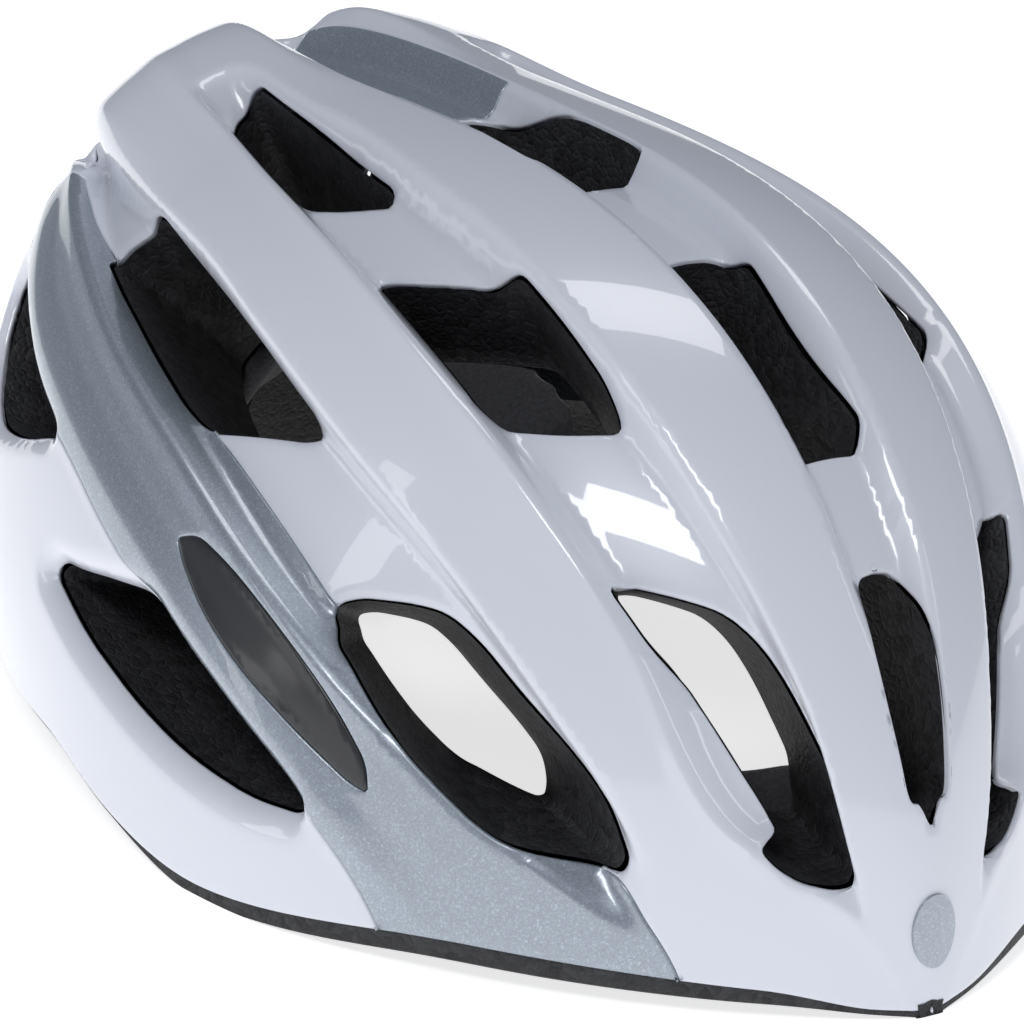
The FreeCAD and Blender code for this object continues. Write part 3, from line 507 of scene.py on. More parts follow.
class HelmetChart:
    """The outer surface of the helmet's left half, cut into its regions."""

    def __init__(self):
        turns = np.linspace(-math.pi / 2, math.pi / 2, 300)
        rim = even_steps(rim_line(turns, 1.0), SPACING * 0.8, False)
        rim[0, 0] = rim[-1, 0] = 0.0
        spine = np.linspace(rim[-1, 1], rim[0, 1], int((rim[-1, 1] - rim[0, 1]) / SPACING))[1:-1]
        boundary = np.vstack([rim, np.stack([np.zeros(len(spine)), spine], axis=-1)])
        self.vents = {name: outline(corners) for name, corners in SIDE_VENTS.items()}
        self.middle = {name: middle_outline(half) for name, half in MIDDLE_VENTS.items()}
        self.leaf = outline(LEAF_OUTLINE, radius=0.006)
        self.band = outline(BAND_OUTLINE, radius=0.02)
        seam = outline(REAR_SEAM, radius=0.05, closed=False)
        seam[-1, 0] = 0.0
        lines = list(self.middle.values()) + [seam]
        creases = self.crease_rows(list(self.vents.values()) + list(self.middle.values())
                                   + [self.leaf, self.band, boundary])
        loops = [loop for loop in self.vents.values()] + [self.leaf, self.band]
        flat, faces = triangulate(boundary, loops, lines + creases, SPACING)
        centres = flat[faces].mean(axis=1)
        region = np.full(len(faces), 0)
        lower = np.vstack([self.band_low_line(), seam, [[0.0, 3.2], [4, 3.2], [4, -2]]])
        region[inside_polygon(centres, lower)] = 2
        region[inside_polygon(centres, self.band)] = 1
        region[inside_polygon(centres, self.leaf)] = 3
        theta, phi = from_chart(centres)
        station, roll = np.degrees(theta), np.degrees(phi)
        in_channel = roll < rail("inner_rib_inside", station)
        region[(region == 0) & in_channel & (station > 108.5) & (station < 149)] = 4
        for loop in self.vents.values():
            region[inside_polygon(centres, loop)] = -1
        for line in self.middle.values():
            region[inside_polygon(centres, line)] = -1
        theta, phi = from_chart(flat)
        self.flat = flat
        self.points = carved_form(theta, phi, self.extra_depth(flat, theta, phi))
        self.points[np.abs(flat[:, 0]) < 1e-6, 0] = 0.0
        self.faces, self.region = faces, region

    def crease_rows(self, edges):
        """Rows of points along every rib edge and channel wall, kept clear of other edges."""
        points = np.vstack(edges)
        tree = KDTree(len(points))
        for k, point in enumerate(points):
            tree.insert((point[0], point[1], 0), k)
        tree.balance()
        stations = np.arange(14.0, 147.0, 0.7)
        rows = []
        for name, offsets in CREASE_ROWS.items():
            for offset in offsets:
                roll = rail(name, stations)
                scale = roll_scale(np.radians(stations), np.radians(roll))
                line = even_steps(to_chart(stations, roll + offset / scale), SPACING * 0.9, False)
                run = []
                for place in line:
                    if tree.find((place[0], place[1], 0))[2] > SPACING * 0.55:
                        run.append(place)
                        continue
                    if len(run) > 2:
                        rows.append(np.array(run))
                    run = []
                if len(run) > 2:
                    rows.append(np.array(run))
        return rows

    def band_low_line(self):
        """Lower edge of the band from its front to its tail."""
        start = BAND_OUTLINE.index((45, 110))
        return to_chart(*np.array(BAND_OUTLINE[start:], float).T)

    def extra_depth(self, flat, theta, phi):
        """Edges of the vents that roll inwards."""
        extra = np.zeros(len(flat))
        for name, (reach, deep) in ROLLED_EDGES.items():
            loop = self.vents[name]
            tree = KDTree(len(loop))
            for k, point in enumerate(loop):
                tree.insert((point[0], point[1], 0), k)
            tree.balance()
            near = np.abs(flat - loop.mean(axis=0)).max(axis=1) < 0.8
            away = np.full(len(flat), 9.0)
            for k in np.nonzero(near)[0]:
                away[k] = tree.find((flat[k, 0], flat[k, 1], 0))[2]
            share = np.clip(1 - away * MM_PER_CHART_UNIT / reach, 0, 1)
            extra += deep * share ** 2
        return extra

    def part(self, region, both_sides=True):
        """Points and faces of one region, with its mirror image if asked."""
        points, faces, _ = compact(self.points, self.faces[self.region == region])
        if both_sides:
            return mirrored(points, faces, points[:, 0] == 0)
        return points, faces


# --- foam liner ---------------------------------------------------------------------------
def cavity_form(theta, phi, inset=0.0):
    sine = np.maximum(np.sin(theta), 1e-6)
    width = (CAVITY_HALF_WIDTH - inset) * sine ** 0.85
    height = (CAVITY_CROWN_Z - inset - CAVITY_BASE_Z) * sine ** 0.7
    x = width * np.sign(np.sin(phi)) * np.abs(np.sin(phi)) ** 0.95
    z = CAVITY_BASE_Z + height * np.abs(np.cos(phi)) ** 0.9
    return np.stack([x, -(CAVITY_HALF_LENGTH - inset) * np.cos(theta), z], axis=-1)


def in_cavity(points, inset=0.0):
    y = np.clip(points[:, 1] / (CAVITY_HALF_LENGTH - inset), -1, 1)
    sine = np.sqrt(np.maximum(1 - y * y, 1e-9))
    width = (CAVITY_HALF_WIDTH - inset) * sine ** 0.85
    height = (CAVITY_CROWN_Z - inset - CAVITY_BASE_Z) * sine ** 0.7
    up = np.maximum(points[:, 2] - CAVITY_BASE_Z, 0) / height
    size = (np.abs(points[:, 0]) / width) ** (2 / 0.95) + up ** (2 / 0.9)
    return (size < 1) & (np.abs(points[:, 1]) < CAVITY_HALF_LENGTH - inset)


def cavity_chart(points):
    """Chart places of points on the cavity wall."""
    theta = np.arccos(np.clip(-points[:, 1] / CAVITY_HALF_LENGTH, -1, 1))
    sine = np.maximum(np.sin(theta), 1e-6)
    across = np.abs(points[:, 0]) / (CAVITY_HALF_WIDTH * sine ** 0.85)
    up = np.maximum(points[:, 2] - CAVITY_BASE_Z, 0) / ((CAVITY_CROWN_Z - CAVITY_BASE_Z) * sine ** 0.7)
    phi = np.arctan2(np.clip(across, 0, 1) ** (1 / 0.95) * np.sign(points[:, 0]),
                     np.clip(up, 0, 1) ** (1 / 0.9))
    return to_chart(np.degrees(theta), np.degrees(phi))


def cast_to_cavity(points, directions):
    """Where lines from the outer surface come out of the liner's inner wall."""
    low, high = np.zeros(len(points)), np.full(len(points), 75.0)
    steps = np.linspace(0, 75, 76)
    found = np.zeros(len(points), bool)
    for step in steps:
        hit = in_cavity(points + directions * step) & ~found
        high[hit], low[hit] = step, step - 1
        found |= hit
    for _ in range(20):
        middle = (low + high) / 2
        inside = in_cavity(points + directions * middle[:, None])
        high, low = np.where(inside, middle, high), np.where(inside, low, middle)
    return points + directions * high[:, None], found


def bridge(ring_a, ring_b, closed, flip=False):
    """Quads between two rows of vertex numbers."""
    count = len(ring_a)
    faces = []
    for k in range(count if closed else count - 1):
        j = (k + 1) % count
        face = (ring_a[k], ring_a[j], ring_b[j], ring_b[k])
        faces.append(face[::-1] if flip else face)
    return faces


# Way the foam was drawn from behind each front vent, for the helmet's left side.
DRAWN_ALONG = {"a1": (0.0, 0.90, -0.43), "b1": (-0.37, 0.94, -0.20), "c1": (-0.37, 0.94, -0.20)}
# Share by which a vent's walls close in over this depth of foam.
CLOSING_DEPTH = 30.0
OTHER_CLOSING = 0.1
CLOSING = {"b1": 0.30, "c1": 0.42, "a1": 0.15, "d1": 0.25, "b2": 0.15, "a2": 0.15}


def vent_tunnel(chart, name, line, closed, rows=7):
    """Wall of one vent through the foam: rows of points from the shell to the inside."""
    theta, phi = from_chart(line)
    top = carved_form(theta, phi, chart.extra_depth(line, theta, phi))
    centre_theta, centre_phi = from_chart(line.mean(axis=0)[None, :])
    if not closed:
        centre_phi = centre_phi * 0
    step = 0.02
    at = smooth_form(centre_theta, centre_phi)
    across = smooth_form(centre_theta, centre_phi + step) - at
    along = smooth_form(centre_theta + step, centre_phi) - at
    normal = np.cross(across, along)[0]
    normal /= np.linalg.norm(normal)
    if np.dot(normal, at[0] - (0, 0, 20)) < 0:
        normal = -normal
    middle = top.mean(axis=0)
    if not closed:
        middle[0] = 0.0
    away = top - middle
    away -= np.outer(away @ normal, normal)
    away /= np.maximum(np.linalg.norm(away, axis=1, keepdims=True), 1e-9)
    way = np.array(DRAWN_ALONG.get(name, -normal))
    way /= np.linalg.norm(way)
    lateral = top - middle
    lateral -= np.outer(lateral @ way, way)
    inward = CLOSING_DEPTH * way - lateral * CLOSING.get(name, OTHER_CLOSING)
    inward /= np.linalg.norm(inward, axis=1, keepdims=True)
    end, found = cast_to_cavity(top, inward)
    depth = np.linalg.norm(end - top, axis=1)
    depth[~found] = 30.0
    result = []
    for k in range(rows):
        share = (0.9 + (depth - 0.9) * (k / (rows - 1)) ** 1.3)
        bulge = 0.5 * (1 - math.exp(-k * 1.5)) - 0.25
        row = top + inward * share[:, None] + away * bulge
        if not closed:
            row[0, 0] = row[-1, 0] = 0.0
        result.append(row)
    return result


def build_liner(chart):
    """Closed foam body: vent walls, inner wall, rim and the strip under the shells' edge."""
    half_points, half_faces = [], []

    def add(rows):
        """Store rows of points and return their vertex numbers."""
        numbers = []
        for row in rows:
            start = sum(len(block) for block in half_points)
            half_points.append(np.asarray(row, float))
            numbers.append(list(range(start, start + len(row))))
        return numbers

    openings, open_lines = [], []
    for name, line in list(chart.vents.items()) + list(chart.middle.items()):
        closed = name in chart.vents
        rows = vent_tunnel(chart, name, line, closed)
        numbers = add(rows)
        for upper, lower in zip(numbers, numbers[1:]):
            half_faces.extend(bridge(upper, lower, closed))
        (openings if closed else open_lines).append((rows[-1], numbers[-1]))

    turns = np.linspace(-math.pi / 2, math.pi / 2, 260)
    strip = []
    for raised, inset in ((1.9, 1.2), (1.0, 1.0), (0.12, 0.7), (0.0, 1.6)):
        theta, phi = from_chart(rim_line(turns, raised))
        strip.append(carved_form(theta, phi, np.full(len(turns), inset)))
    outer_rim = strip[-1]
    low, high = np.full(len(turns), 0.6), np.full(len(turns), 1.9)
    for _ in range(40):
        middle = (low + high) / 2
        theta, phi = from_chart(np.stack([middle * np.cos(turns), middle * np.sin(turns)], axis=-1))
        inner = cavity_form(theta, phi)
        station = np.degrees(np.arccos(np.clip(-inner[:, 1] / HALF_LENGTH, -1, 1)))
        above = inner[:, 2] > rim_height(station, 0.0) + 1.5
        low, high = np.where(above, middle, low), np.where(above, high, middle)
    inner_flat = np.stack([low * np.cos(turns), low * np.sin(turns)], axis=-1)
    inner_flat[0, 0] = inner_flat[-1, 0] = 0.0
    theta, phi = from_chart(inner_flat)
    inner_rim = cavity_form(theta, phi)
    for share, drop in ((0.04, 1.2), (0.35, 1.4), (0.7, 1.5), (0.95, 1.2)):
        row = outer_rim * (1 - share) + inner_rim * share
        station = np.degrees(np.arccos(np.clip(-row[:, 1] / HALF_LENGTH, -1, 1)))
        row[:, 2] = rim_height(station, 0.0) * (1 - share) + share * inner_rim[:, 2] - drop * share + 0.2
        row[:, 2] = np.maximum(row[:, 2], 0.05)
        strip.append(row)
    strip.append(inner_rim)
    for row in strip:
        row[0, 0] = row[-1, 0] = 0.0
        row[:, 2] = np.maximum(row[:, 2], 0.05)
    numbers = add(strip)
    for upper, lower in zip(numbers, numbers[1:]):
        half_faces.extend(bridge(upper, lower, False, flip=True))

    loops = [cavity_chart(row) for row, _ in openings]
    lines = []
    for row, _ in open_lines:
        flat = cavity_chart(row)
        flat[0, 0] = flat[-1, 0] = 0.0
        lines.append(flat)
    spine = np.linspace(inner_flat[-1, 1], inner_flat[0, 1], 90)[1:-1]
    boundary = np.vstack([inner_flat, np.stack([np.zeros(len(spine)), spine], axis=-1)])
    flat, faces = triangulate(boundary, loops, lines, 0.024)
    centres = flat[faces].mean(axis=1)
    keep = np.ones(len(faces), bool)
    for loop in loops + lines:
        keep &= ~inside_polygon(centres, loop)
    faces = faces[keep]
    theta, phi = from_chart(flat)
    wall = cavity_form(theta, phi)
    wall[np.abs(flat[:, 0]) < 1e-6, 0] = 0.0
    wall, faces, _ = compact(wall, faces)
    faces = faces[:, ::-1]
    start = add([wall])[0][0]
    half_faces.extend((faces + start).tolist())

    points = np.vstack(half_points)
    other = points * (-1, 1, 1)
    count = len(points)
    turned = [tuple(v + count for v in reversed(face)) for face in half_faces]
    piece = make_object("foam_liner", np.vstack([points, other]), half_faces + turned)
    mesh = bmesh.new()
    mesh.from_mesh(piece.data)
    bmesh.ops.remove_doubles(mesh, verts=mesh.verts, dist=0.00006)
    mesh.to_mesh(piece.data)
    mesh.free()
    piece.data.shade_smooth()
    return piece


LIP_PROFILE = [(-LIP_RADIUS, 0.0), (-0.5 * LIP_RADIUS, 0.134 * LIP_RADIUS),
               (-0.134 * LIP_RADIUS, 0.5 * LIP_RADIUS), (0.0, LIP_RADIUS), (0.0, LIP_DEPTH)]


# --- shader kit ---------------------------------------------------------------------------
class Socket:
    """An output socket that Python operators turn into Math nodes."""

    def __init__(self, paint, output):
        self.paint, self.output = paint, output

    def _math(self, operation, first, second):
        return self.paint.node("ShaderNodeMath", {"operation": operation}, {0: first, 1: second})

    def __add__(self, other):
        return self._math("ADD", self, other)

    def __radd__(self, other):
        return self._math("ADD", other, self)

    def __sub__(self, other):
        return self._math("SUBTRACT", self, other)

    def __rsub__(self, other):
        return self._math("SUBTRACT", other, self)

    def __mul__(self, other):
        return self._math("MULTIPLY", self, other)

    def __rmul__(self, other):
        return self._math("MULTIPLY", other, self)

    def __truediv__(self, other):
        return self._math("DIVIDE", self, other)

    def __pow__(self, other):
        return self._math("POWER", self, other)


class Paint:
    """One node material: makes nodes, links sockets and fills in the surface shader."""

    def __init__(self, name):
        self.material = bpy.data.materials.get(name) or bpy.data.materials.new(name)
        self.material.use_nodes = True
        self.tree = self.material.node_tree
        self.tree.nodes.clear()
        self.shader = self.tree.nodes.new("ShaderNodeBsdfPrincipled")
        output = self.tree.nodes.new("ShaderNodeOutputMaterial")
        self.tree.links.new(self.shader.outputs[0], output.inputs[0])

    def node(self, kind, settings=None, inputs=None, out=0):
        node = self.tree.nodes.new(kind)
        for key, value in (settings or {}).items():
            if key == "stops":
                self._stops(node.color_ramp, value)
            else:
                setattr(node, key, value)
        for key, value in (inputs or {}).items():
            self._feed(node.inputs[key], value)
        return Socket(self, node.outputs[out])

    def _stops(self, ramp_data, stops):
        elements = ramp_data.elements
        while len(elements) < len(stops):
            elements.new(0.5)
        for element, (position, colour) in zip(elements, stops):
            element.position, element.color = position, colour

    def _feed(self, socket, value):
        if isinstance(value, Socket):
            self.tree.links.new(value.output, socket)
        else:
            socket.default_value = value

    def surface(self, **values):
        for key, value in values.items():
            self._feed(self.shader.inputs[key.replace("_", " ")], value)
        return self.material

    def place(self, scale=1.0, turn=(0, 0, 0)):
        coordinates = self.node("ShaderNodeTexCoord", out=3)
        return self.node("ShaderNodeMapping", {}, {0: coordinates, 2: turn, 3: (scale,) * 3})

    def noise(self, scale, detail=2.0, roughness=0.5, vector=None):
        vector = vector or self.place()
        return self.node("ShaderNodeTexNoise", {}, {"Vector": vector, "Scale": scale,
                                                    "Detail": detail, "Roughness": roughness})

    def cells(self, scale, feature="F1", vector=None, out=0):
        vector = vector or self.place()
        return self.node("ShaderNodeTexVoronoi", {"feature": feature},
                         {"Vector": vector, "Scale": scale}, out)

    def blend(self, factor, first, second):
        """Mix of two colours."""
        return self.node("ShaderNodeMix", {"data_type": "RGBA"}, {0: factor, 6: first, 7: second}, out=2)

    def bump(self, height, distance, strength=1.0):
        return self.node("ShaderNodeBump", {}, {"Strength": strength, "Distance": distance,
                                                "Height": height})


def rgba(colour):
    return (*colour[:3], 1.0)


def pearl_paint(name, colour):
    """Clear-coated pearl: a cool tint, fine flakes and faint orange peel."""
    paint = Paint(name)
    flakes = paint.cells(3200.0, out=1)
    sparkle = paint.node("ShaderNodeSeparateColor", {}, {0: flakes})
    cloud = paint.noise(9.0, 2.0)
    cool = paint.blend(cloud, rgba([c * 0.97 for c in colour[:2]] + [colour[2]]), rgba(colour))
    tint = paint.blend(sparkle * 0.04, cool, (0.86, 0.88, 0.95, 1))
    peel = paint.noise(55.0, 1.0)
    return paint.surface(Base_Color=tint, Roughness=0.28 + 0.06 * paint.noise(14.0), Metallic=0.0,
                         Coat_Weight=1.0, Coat_Roughness=0.035, Coat_IOR=1.5,
                         Normal=paint.bump(peel, 0.00006, 0.35))


def flake_paint(name, colour):
    """Metallic flake under clear coat."""
    paint = Paint(name)
    flakes = paint.node("ShaderNodeSeparateColor", {}, {0: paint.cells(4200.0, out=1)})
    coarse = paint.node("ShaderNodeSeparateColor", {}, {0: paint.cells(2400.0, out=1)})
    glitter = (flakes ** 3.0) * 0.22 + (coarse ** 6.0) * 0.25
    tint = paint.blend(glitter, rgba(colour), (0.72, 0.84, 0.92, 1))
    return paint.surface(Base_Color=tint, Metallic=0.62, Roughness=0.38 + 0.06 * flakes,
                         Coat_Weight=1.0, Coat_Roughness=0.04,
                         Normal=paint.bump(flakes, 0.00001, 0.12))


def foam_paint(name, colour):
    """Black moulded bead foam: packed bead cells, each a little different, with fine painted highlights on
    the beads.
    """
    paint = Paint(name)
    edges = paint.cells(520.0, "DISTANCE_TO_EDGE")
    shade = paint.node("ShaderNodeSeparateColor", {}, {0: paint.cells(520.0, out=1)})
    fine = paint.noise(2600.0, 3.0, 0.6)
    dome = paint.node("ShaderNodeMapRange", {}, {0: edges, 1: 0.0, 2: 0.25, 3: 0.0, 4: 1.0})
    # Painted highlights: bright fine specks in the base colour stand in for glints on the beads; the
    # per-cell tone is the foam's own.
    glint_speck = paint.node("ShaderNodeMapRange", {}, {0: fine, 1: 0.52, 2: 0.75, 3: 0.0, 4: 1.0})
    value = 0.35 * shade + 0.65 * glint_speck
    tint = paint.blend(value, rgba([c * 0.35 for c in colour[:3]]), rgba([c * 2.6 for c in colour[:3]]))
    height = dome * 0.7 + fine * 0.3
    return paint.surface(Base_Color=tint, Roughness=0.5 + 0.3 * fine,
                         Normal=paint.bump(height, 0.00035, 0.7))


def gloss_black_paint(name, colour):
    paint = Paint(name)
    cloud = paint.noise(30.0)
    tint = paint.blend(cloud, rgba(colour), (0.016, 0.016, 0.018, 1))
    return paint.surface(Base_Color=tint, Roughness=0.34 + 0.08 * cloud, Coat_Weight=0.5,
                         Coat_Roughness=0.12, Normal=paint.bump(paint.noise(400.0), 0.00003, 0.3))


def moulded_paint(name, colour, grain=900.0, roughness=0.42):
    """Injection-moulded nylon with a fine spark-eroded grain."""
    paint = Paint(name)
    fine = paint.noise(grain, 3.0, 0.65)
    cloud = paint.noise(40.0, 2.0)
    tint = paint.blend(cloud, rgba([c * 0.75 for c in colour[:3]]), rgba([c * 1.3 for c in colour[:3]]))
    return paint.surface(Base_Color=tint, Roughness=roughness + 0.16 * fine,
                         Normal=paint.bump(fine, 0.00008, 0.6))


def steel_paint(name, colour):
    paint = Paint(name)
    vector = paint.node("ShaderNodeMapping", {}, {0: paint.node("ShaderNodeTexCoord", out=3),
                                                  3: (1, 1, 0.05)})
    brushed = paint.noise(3000.0, 2.0, vector=vector)
    return paint.surface(Base_Color=rgba(colour), Metallic=1.0, Roughness=0.24 + 0.2 * brushed,
                         Normal=paint.bump(brushed, 0.00002, 0.3))


def woven_paint(name, colour, pitch=900.0, along="UVMap"):
    """Woven webbing: crossing ribs that follow the strap's own map, with painted shade in the weave's
    hollows and painted light on its raised yarns.
    """
    paint = Paint(name)
    vector = paint.node("ShaderNodeUVMap", {"uv_map": along})
    split = paint.node("ShaderNodeSeparateXYZ", {}, {0: vector})
    across = paint.node("ShaderNodeSeparateXYZ", {}, {0: vector}, out=1)
    warp = paint.node("ShaderNodeMath", {"operation": "SINE"}, {0: across * (math.pi * 24)})
    weft = paint.node("ShaderNodeMath", {"operation": "SINE"}, {0: split * (math.pi * 1800.0)})
    height = (warp * weft) * 0.5 + 0.5
    # Painted shade and light: the base colour follows the weave's height, dark in its hollows and light on
    # its raised yarns.
    tint = paint.blend(height, rgba([c * 0.45 for c in colour[:3]]), rgba([c * 1.7 for c in colour[:3]]))
    return paint.surface(Base_Color=tint, Roughness=0.75 + 0.15 * height, Sheen_Weight=0.25,
                         Normal=paint.bump(height, 0.00025, 0.8))


def knit_paint(name, colour):
    """Brushed knit of the pad covers, with painted shade between the knit loops."""
    paint = Paint(name)
    loops = paint.cells(1400.0, "SMOOTH_F1")
    fuzz = paint.noise(5200.0, 2.0, 0.7)
    value = (1 - loops) * 0.7 + fuzz * 0.3
    # Painted shade: the base colour follows the knit's height, darker between the loops where the bump
    # sinks.
    tint = paint.blend(value, rgba([c * 0.4 for c in colour[:3]]), rgba([c * 2.0 for c in colour[:3]]))
    return paint.surface(Base_Color=tint, Roughness=0.85 + 0.1 * fuzz, Sheen_Weight=0.4,
                         Normal=paint.bump(value, 0.0003, 0.8))


def hook_paint(name, colour):
    paint = Paint(name)
    hooks = paint.cells(1100.0, "DISTANCE_TO_EDGE")
    # Painted shade: the base colour darkens towards the cell edges, in the gaps between the hooks where
    # the bump sinks.
    tint = paint.blend(hooks * 3.0, rgba([c * 0.5 for c in colour[:3]]), rgba([c * 3 for c in colour[:3]]))
    return paint.surface(Base_Color=tint, Roughness=0.7 + 0.2 * hooks,
                         Normal=paint.bump(hooks, 0.0004, 1.0))


def rubber_paint(name, colour):
    paint = Paint(name)
    fine = paint.noise(1500.0, 3.0)
    tint = paint.blend(fine, rgba([c * 0.6 for c in colour[:3]]), rgba([c * 1.6 for c in colour[:3]]))
    return paint.surface(Base_Color=tint, Roughness=0.62 + 0.2 * fine,
                         Normal=paint.bump(fine, 0.0001, 0.6))


SLOT_PAINTS = {
    "eps_foam": foam_paint, "shell_white": pearl_paint, "band_silver": flake_paint,
    "inset_black": gloss_black_paint, "plaque": flake_paint, "pad_fabric": knit_paint,
    "hook_disc": hook_paint, "webbing": woven_paint, "buckle_plastic": moulded_paint,
    "pin_steel": steel_paint, "cradle_plastic": moulded_paint, "dial_rubber": rubber_paint,
}
FINISHES = {}


def finish(slot):
    """The material of one slot, made once."""
    if slot not in FINISHES:
        colour = next(m["base_color"] for m in frame["record"]["materials"] if m["slot"] == slot)
        FINISHES[slot] = SLOT_PAINTS[slot]("finish_" + slot, colour)
    return FINISHES[slot]


def dress(piece, slot, body, *nodes):
    """Give a piece its finish, its body and the nodes it stands for."""
    piece.data.materials.clear()
    piece.data.materials.append(finish(slot))
    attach(piece, body)
    if nodes:
        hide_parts(*nodes)


# --- soft goods ---------------------------------------------------------------------------
STRAP_WIDTH, STRAP_THICKNESS = 15.0, 1.5
HEADBAND_WIDTH, HEADBAND_THICKNESS = 11.0, 1.2
FRONT_STRAP = [(62.5, -60, 14.5), (62.6, -54, 13.2), (63.1, -47, 11.6), (63.6, -41.2, 10.5)]
REAR_STRAP = [(63.9, 53, 20.5), (64.2, 36, 15), (65, 8, 11), (64.4, -8, 10.5), (63.6, -18.8, 10.5)]
CHIN_STRAP = [(61.6, -41.8, 10.3), (57.5, -55, 10.2), (46, -76, 10), (34, -87.5, 10)]
CHIN_STRAP_END = [(24, -90, 10), (18, -90, 10), (12.3, -90, 10)]
HEADBAND = [(43.6, 71.3, 22), (50, 66, 22.4), (56, 50, 23.6), (59.4, 28, 25.5), (60.4, 0, 26.2),
            (60.2, -28, 26.2), (59.6, -46, 26), (59.2, -61.5, 26)]
PADS = {"brow_pad": "helmet", "crown_pad": "helmet", "side_pad_left": "helmet",
        "side_pad_right": "helmet", "rear_pad_left": "helmet", "rear_pad_right": "helmet",
        "cradle_pad": "cradle"}
STITCH_INSET, STITCH_SPACING, STITCH_LENGTH, THREAD_RADIUS = 2.0, 3.0, 2.0, 0.18
PAD_VOXEL = 0.0022
PAD_SWELL = 0.0012
BROW_PAD_HALF_WIDTH = 0.040


def smooth_route(points, step=1.2):
    """Points along a Catmull-Rom curve through a route."""
    points = np.array(points, float)
    ends = np.vstack([2 * points[0] - points[1], points, 2 * points[-1] - points[-2]])
    places = []
    for k in range(1, len(ends) - 2):
        before, start, end, after = ends[k - 1:k + 3]
        count = max(2, int(np.linalg.norm(end - start) / step))
        for t in np.arange(count) / count:
            places.append(0.5 * (2 * start + (end - before) * t
                                 + (2 * before - 5 * start + 4 * end - after) * t ** 2
                                 + (3 * start - before - 3 * end + after) * t ** 3))
    return np.array(places + [points[-1]])


def strap_section(width, thickness):
    """Outline of a strap: flat faces and soft selvedges, as (across, out) places."""
    half, deep = width / 2, thickness / 2
    face = [(-half + 1.2, deep * 0.9), (-half / 2, deep), (0.0, deep), (half / 2, deep),
            (half - 1.2, deep * 0.9), (half - 0.3, deep * 0.6), (half, 0.0)]
    return face + [(-across, -out) for across, out in face]


def strap(name, route, sign, width, thickness):
    """Strap standing on edge along a route, with its own map for the weave."""
    line = smooth_route(route) * (sign, 1, 1)
    along = np.gradient(line, axis=0)
    along /= np.linalg.norm(along, axis=1, keepdims=True)
    out = np.cross(along, (0, 0, 1))
    out /= np.linalg.norm(out, axis=1, keepdims=True)
    up = np.tile((0.0, 0.0, 1.0), (len(line), 1))
    section = strap_section(width, thickness)
    count = len(section)
    points = np.vstack([line[k] + across * up[k] + deep * out[k]
                        for k in range(len(line)) for across, deep in section])
    faces = []
    for k in range(len(line) - 1):
        ring, following = k * count, (k + 1) * count
        for j in range(count):
            n = (j + 1) % count
            faces.append((ring + j, ring + n, following + n, following + j))
    faces += [tuple(range(count))[::-1], tuple((len(line) - 1) * count + j for j in range(count))]
    piece = make_object(name, points, faces)
    mesh = bmesh.new()
    mesh.from_mesh(piece.data)
    bmesh.ops.recalc_face_normals(mesh, faces=mesh.faces)
    mesh.to_mesh(piece.data)
    mesh.free()
    lengths = np.concatenate([[0], np.cumsum(np.linalg.norm(np.diff(line, axis=0), axis=1))]) * MM
    layer = piece.data.uv_layers.new(name="UVMap")
    for loop in piece.data.loops:
        row, place = divmod(loop.vertex_index, count)
        layer.data[loop.index].uv = (lengths[row], section[place][0] / width + 0.5)
    return piece


def stitch_tree():
    """Node group that lays a thread stitch at even steps along a line."""
    tree = bpy.data.node_groups.new("stitch_row", "GeometryNodeTree")
    faces = tree.interface
    faces.new_socket("Geometry", in_out="INPUT", socket_type="NodeSocketGeometry")
    spacing = faces.new_socket("Spacing", in_out="INPUT", socket_type="NodeSocketFloat")
    length = faces.new_socket("Stitch length", in_out="INPUT", socket_type="NodeSocketFloat")
    radius = faces.new_socket("Thread radius", in_out="INPUT", socket_type="NodeSocketFloat")
    material = faces.new_socket("Thread", in_out="INPUT", socket_type="NodeSocketMaterial")
    faces.new_socket("Geometry", in_out="OUTPUT", socket_type="NodeSocketGeometry")

    def add(kind, mode=None, **links):
        node = tree.nodes.new(kind)
        if mode:
            node.mode = mode
        for name, source in links.items():
            tree.links.new(source, node.inputs[name.replace("_", " ")])
        return node

    entry = tree.nodes.new("NodeGroupInput").outputs
    curve = add("GeometryNodeMeshToCurve", Mesh=entry["Geometry"])
    points = add("GeometryNodeCurveToPoints", "LENGTH", Curve=curve.outputs[0],
                 Length=entry["Spacing"])
    thread = add("GeometryNodeMeshCylinder", Radius=entry["Thread radius"],
                 Depth=entry["Stitch length"])
    thread.inputs["Vertices"].default_value = 8
    align = add("FunctionNodeAlignRotationToVector", Vector=points.outputs["Tangent"])
    placed = add("GeometryNodeInstanceOnPoints", Points=points.outputs["Points"],
                 Instance=thread.outputs["Mesh"], Rotation=align.outputs[0])
    real = add("GeometryNodeRealizeInstances", Geometry=placed.outputs[0])
    painted = add("GeometryNodeSetMaterial", Geometry=real.outputs[0], Material=entry["Thread"])
    add("NodeGroupOutput", Geometry=painted.outputs[0])
    return tree, {"spacing": spacing.identifier, "length": length.identifier,
                  "radius": radius.identifier, "material": material.identifier}


def stitches(name, line, spacing, length, radius):
    """Row of thread stitches along a line of points in millimetres."""
    mesh = bpy.data.meshes.new(name)
    mesh.from_pydata([tuple(point * MM) for point in line],
                     [(k, k + 1) for k in range(len(line) - 1)], [])
    piece = bpy.data.objects.new(name, mesh)
    bpy.context.scene.collection.objects.link(piece)
    tree, sockets = stitch_tree()
    rows = piece.modifiers.new("stitches", "NODES")
    rows.node_group = tree
    rows[sockets["spacing"]] = spacing * MM
    rows[sockets["length"]] = length * MM
    rows[sockets["radius"]] = radius * MM
    rows[sockets["material"]] = finish("webbing")
    bake(piece)
    return piece


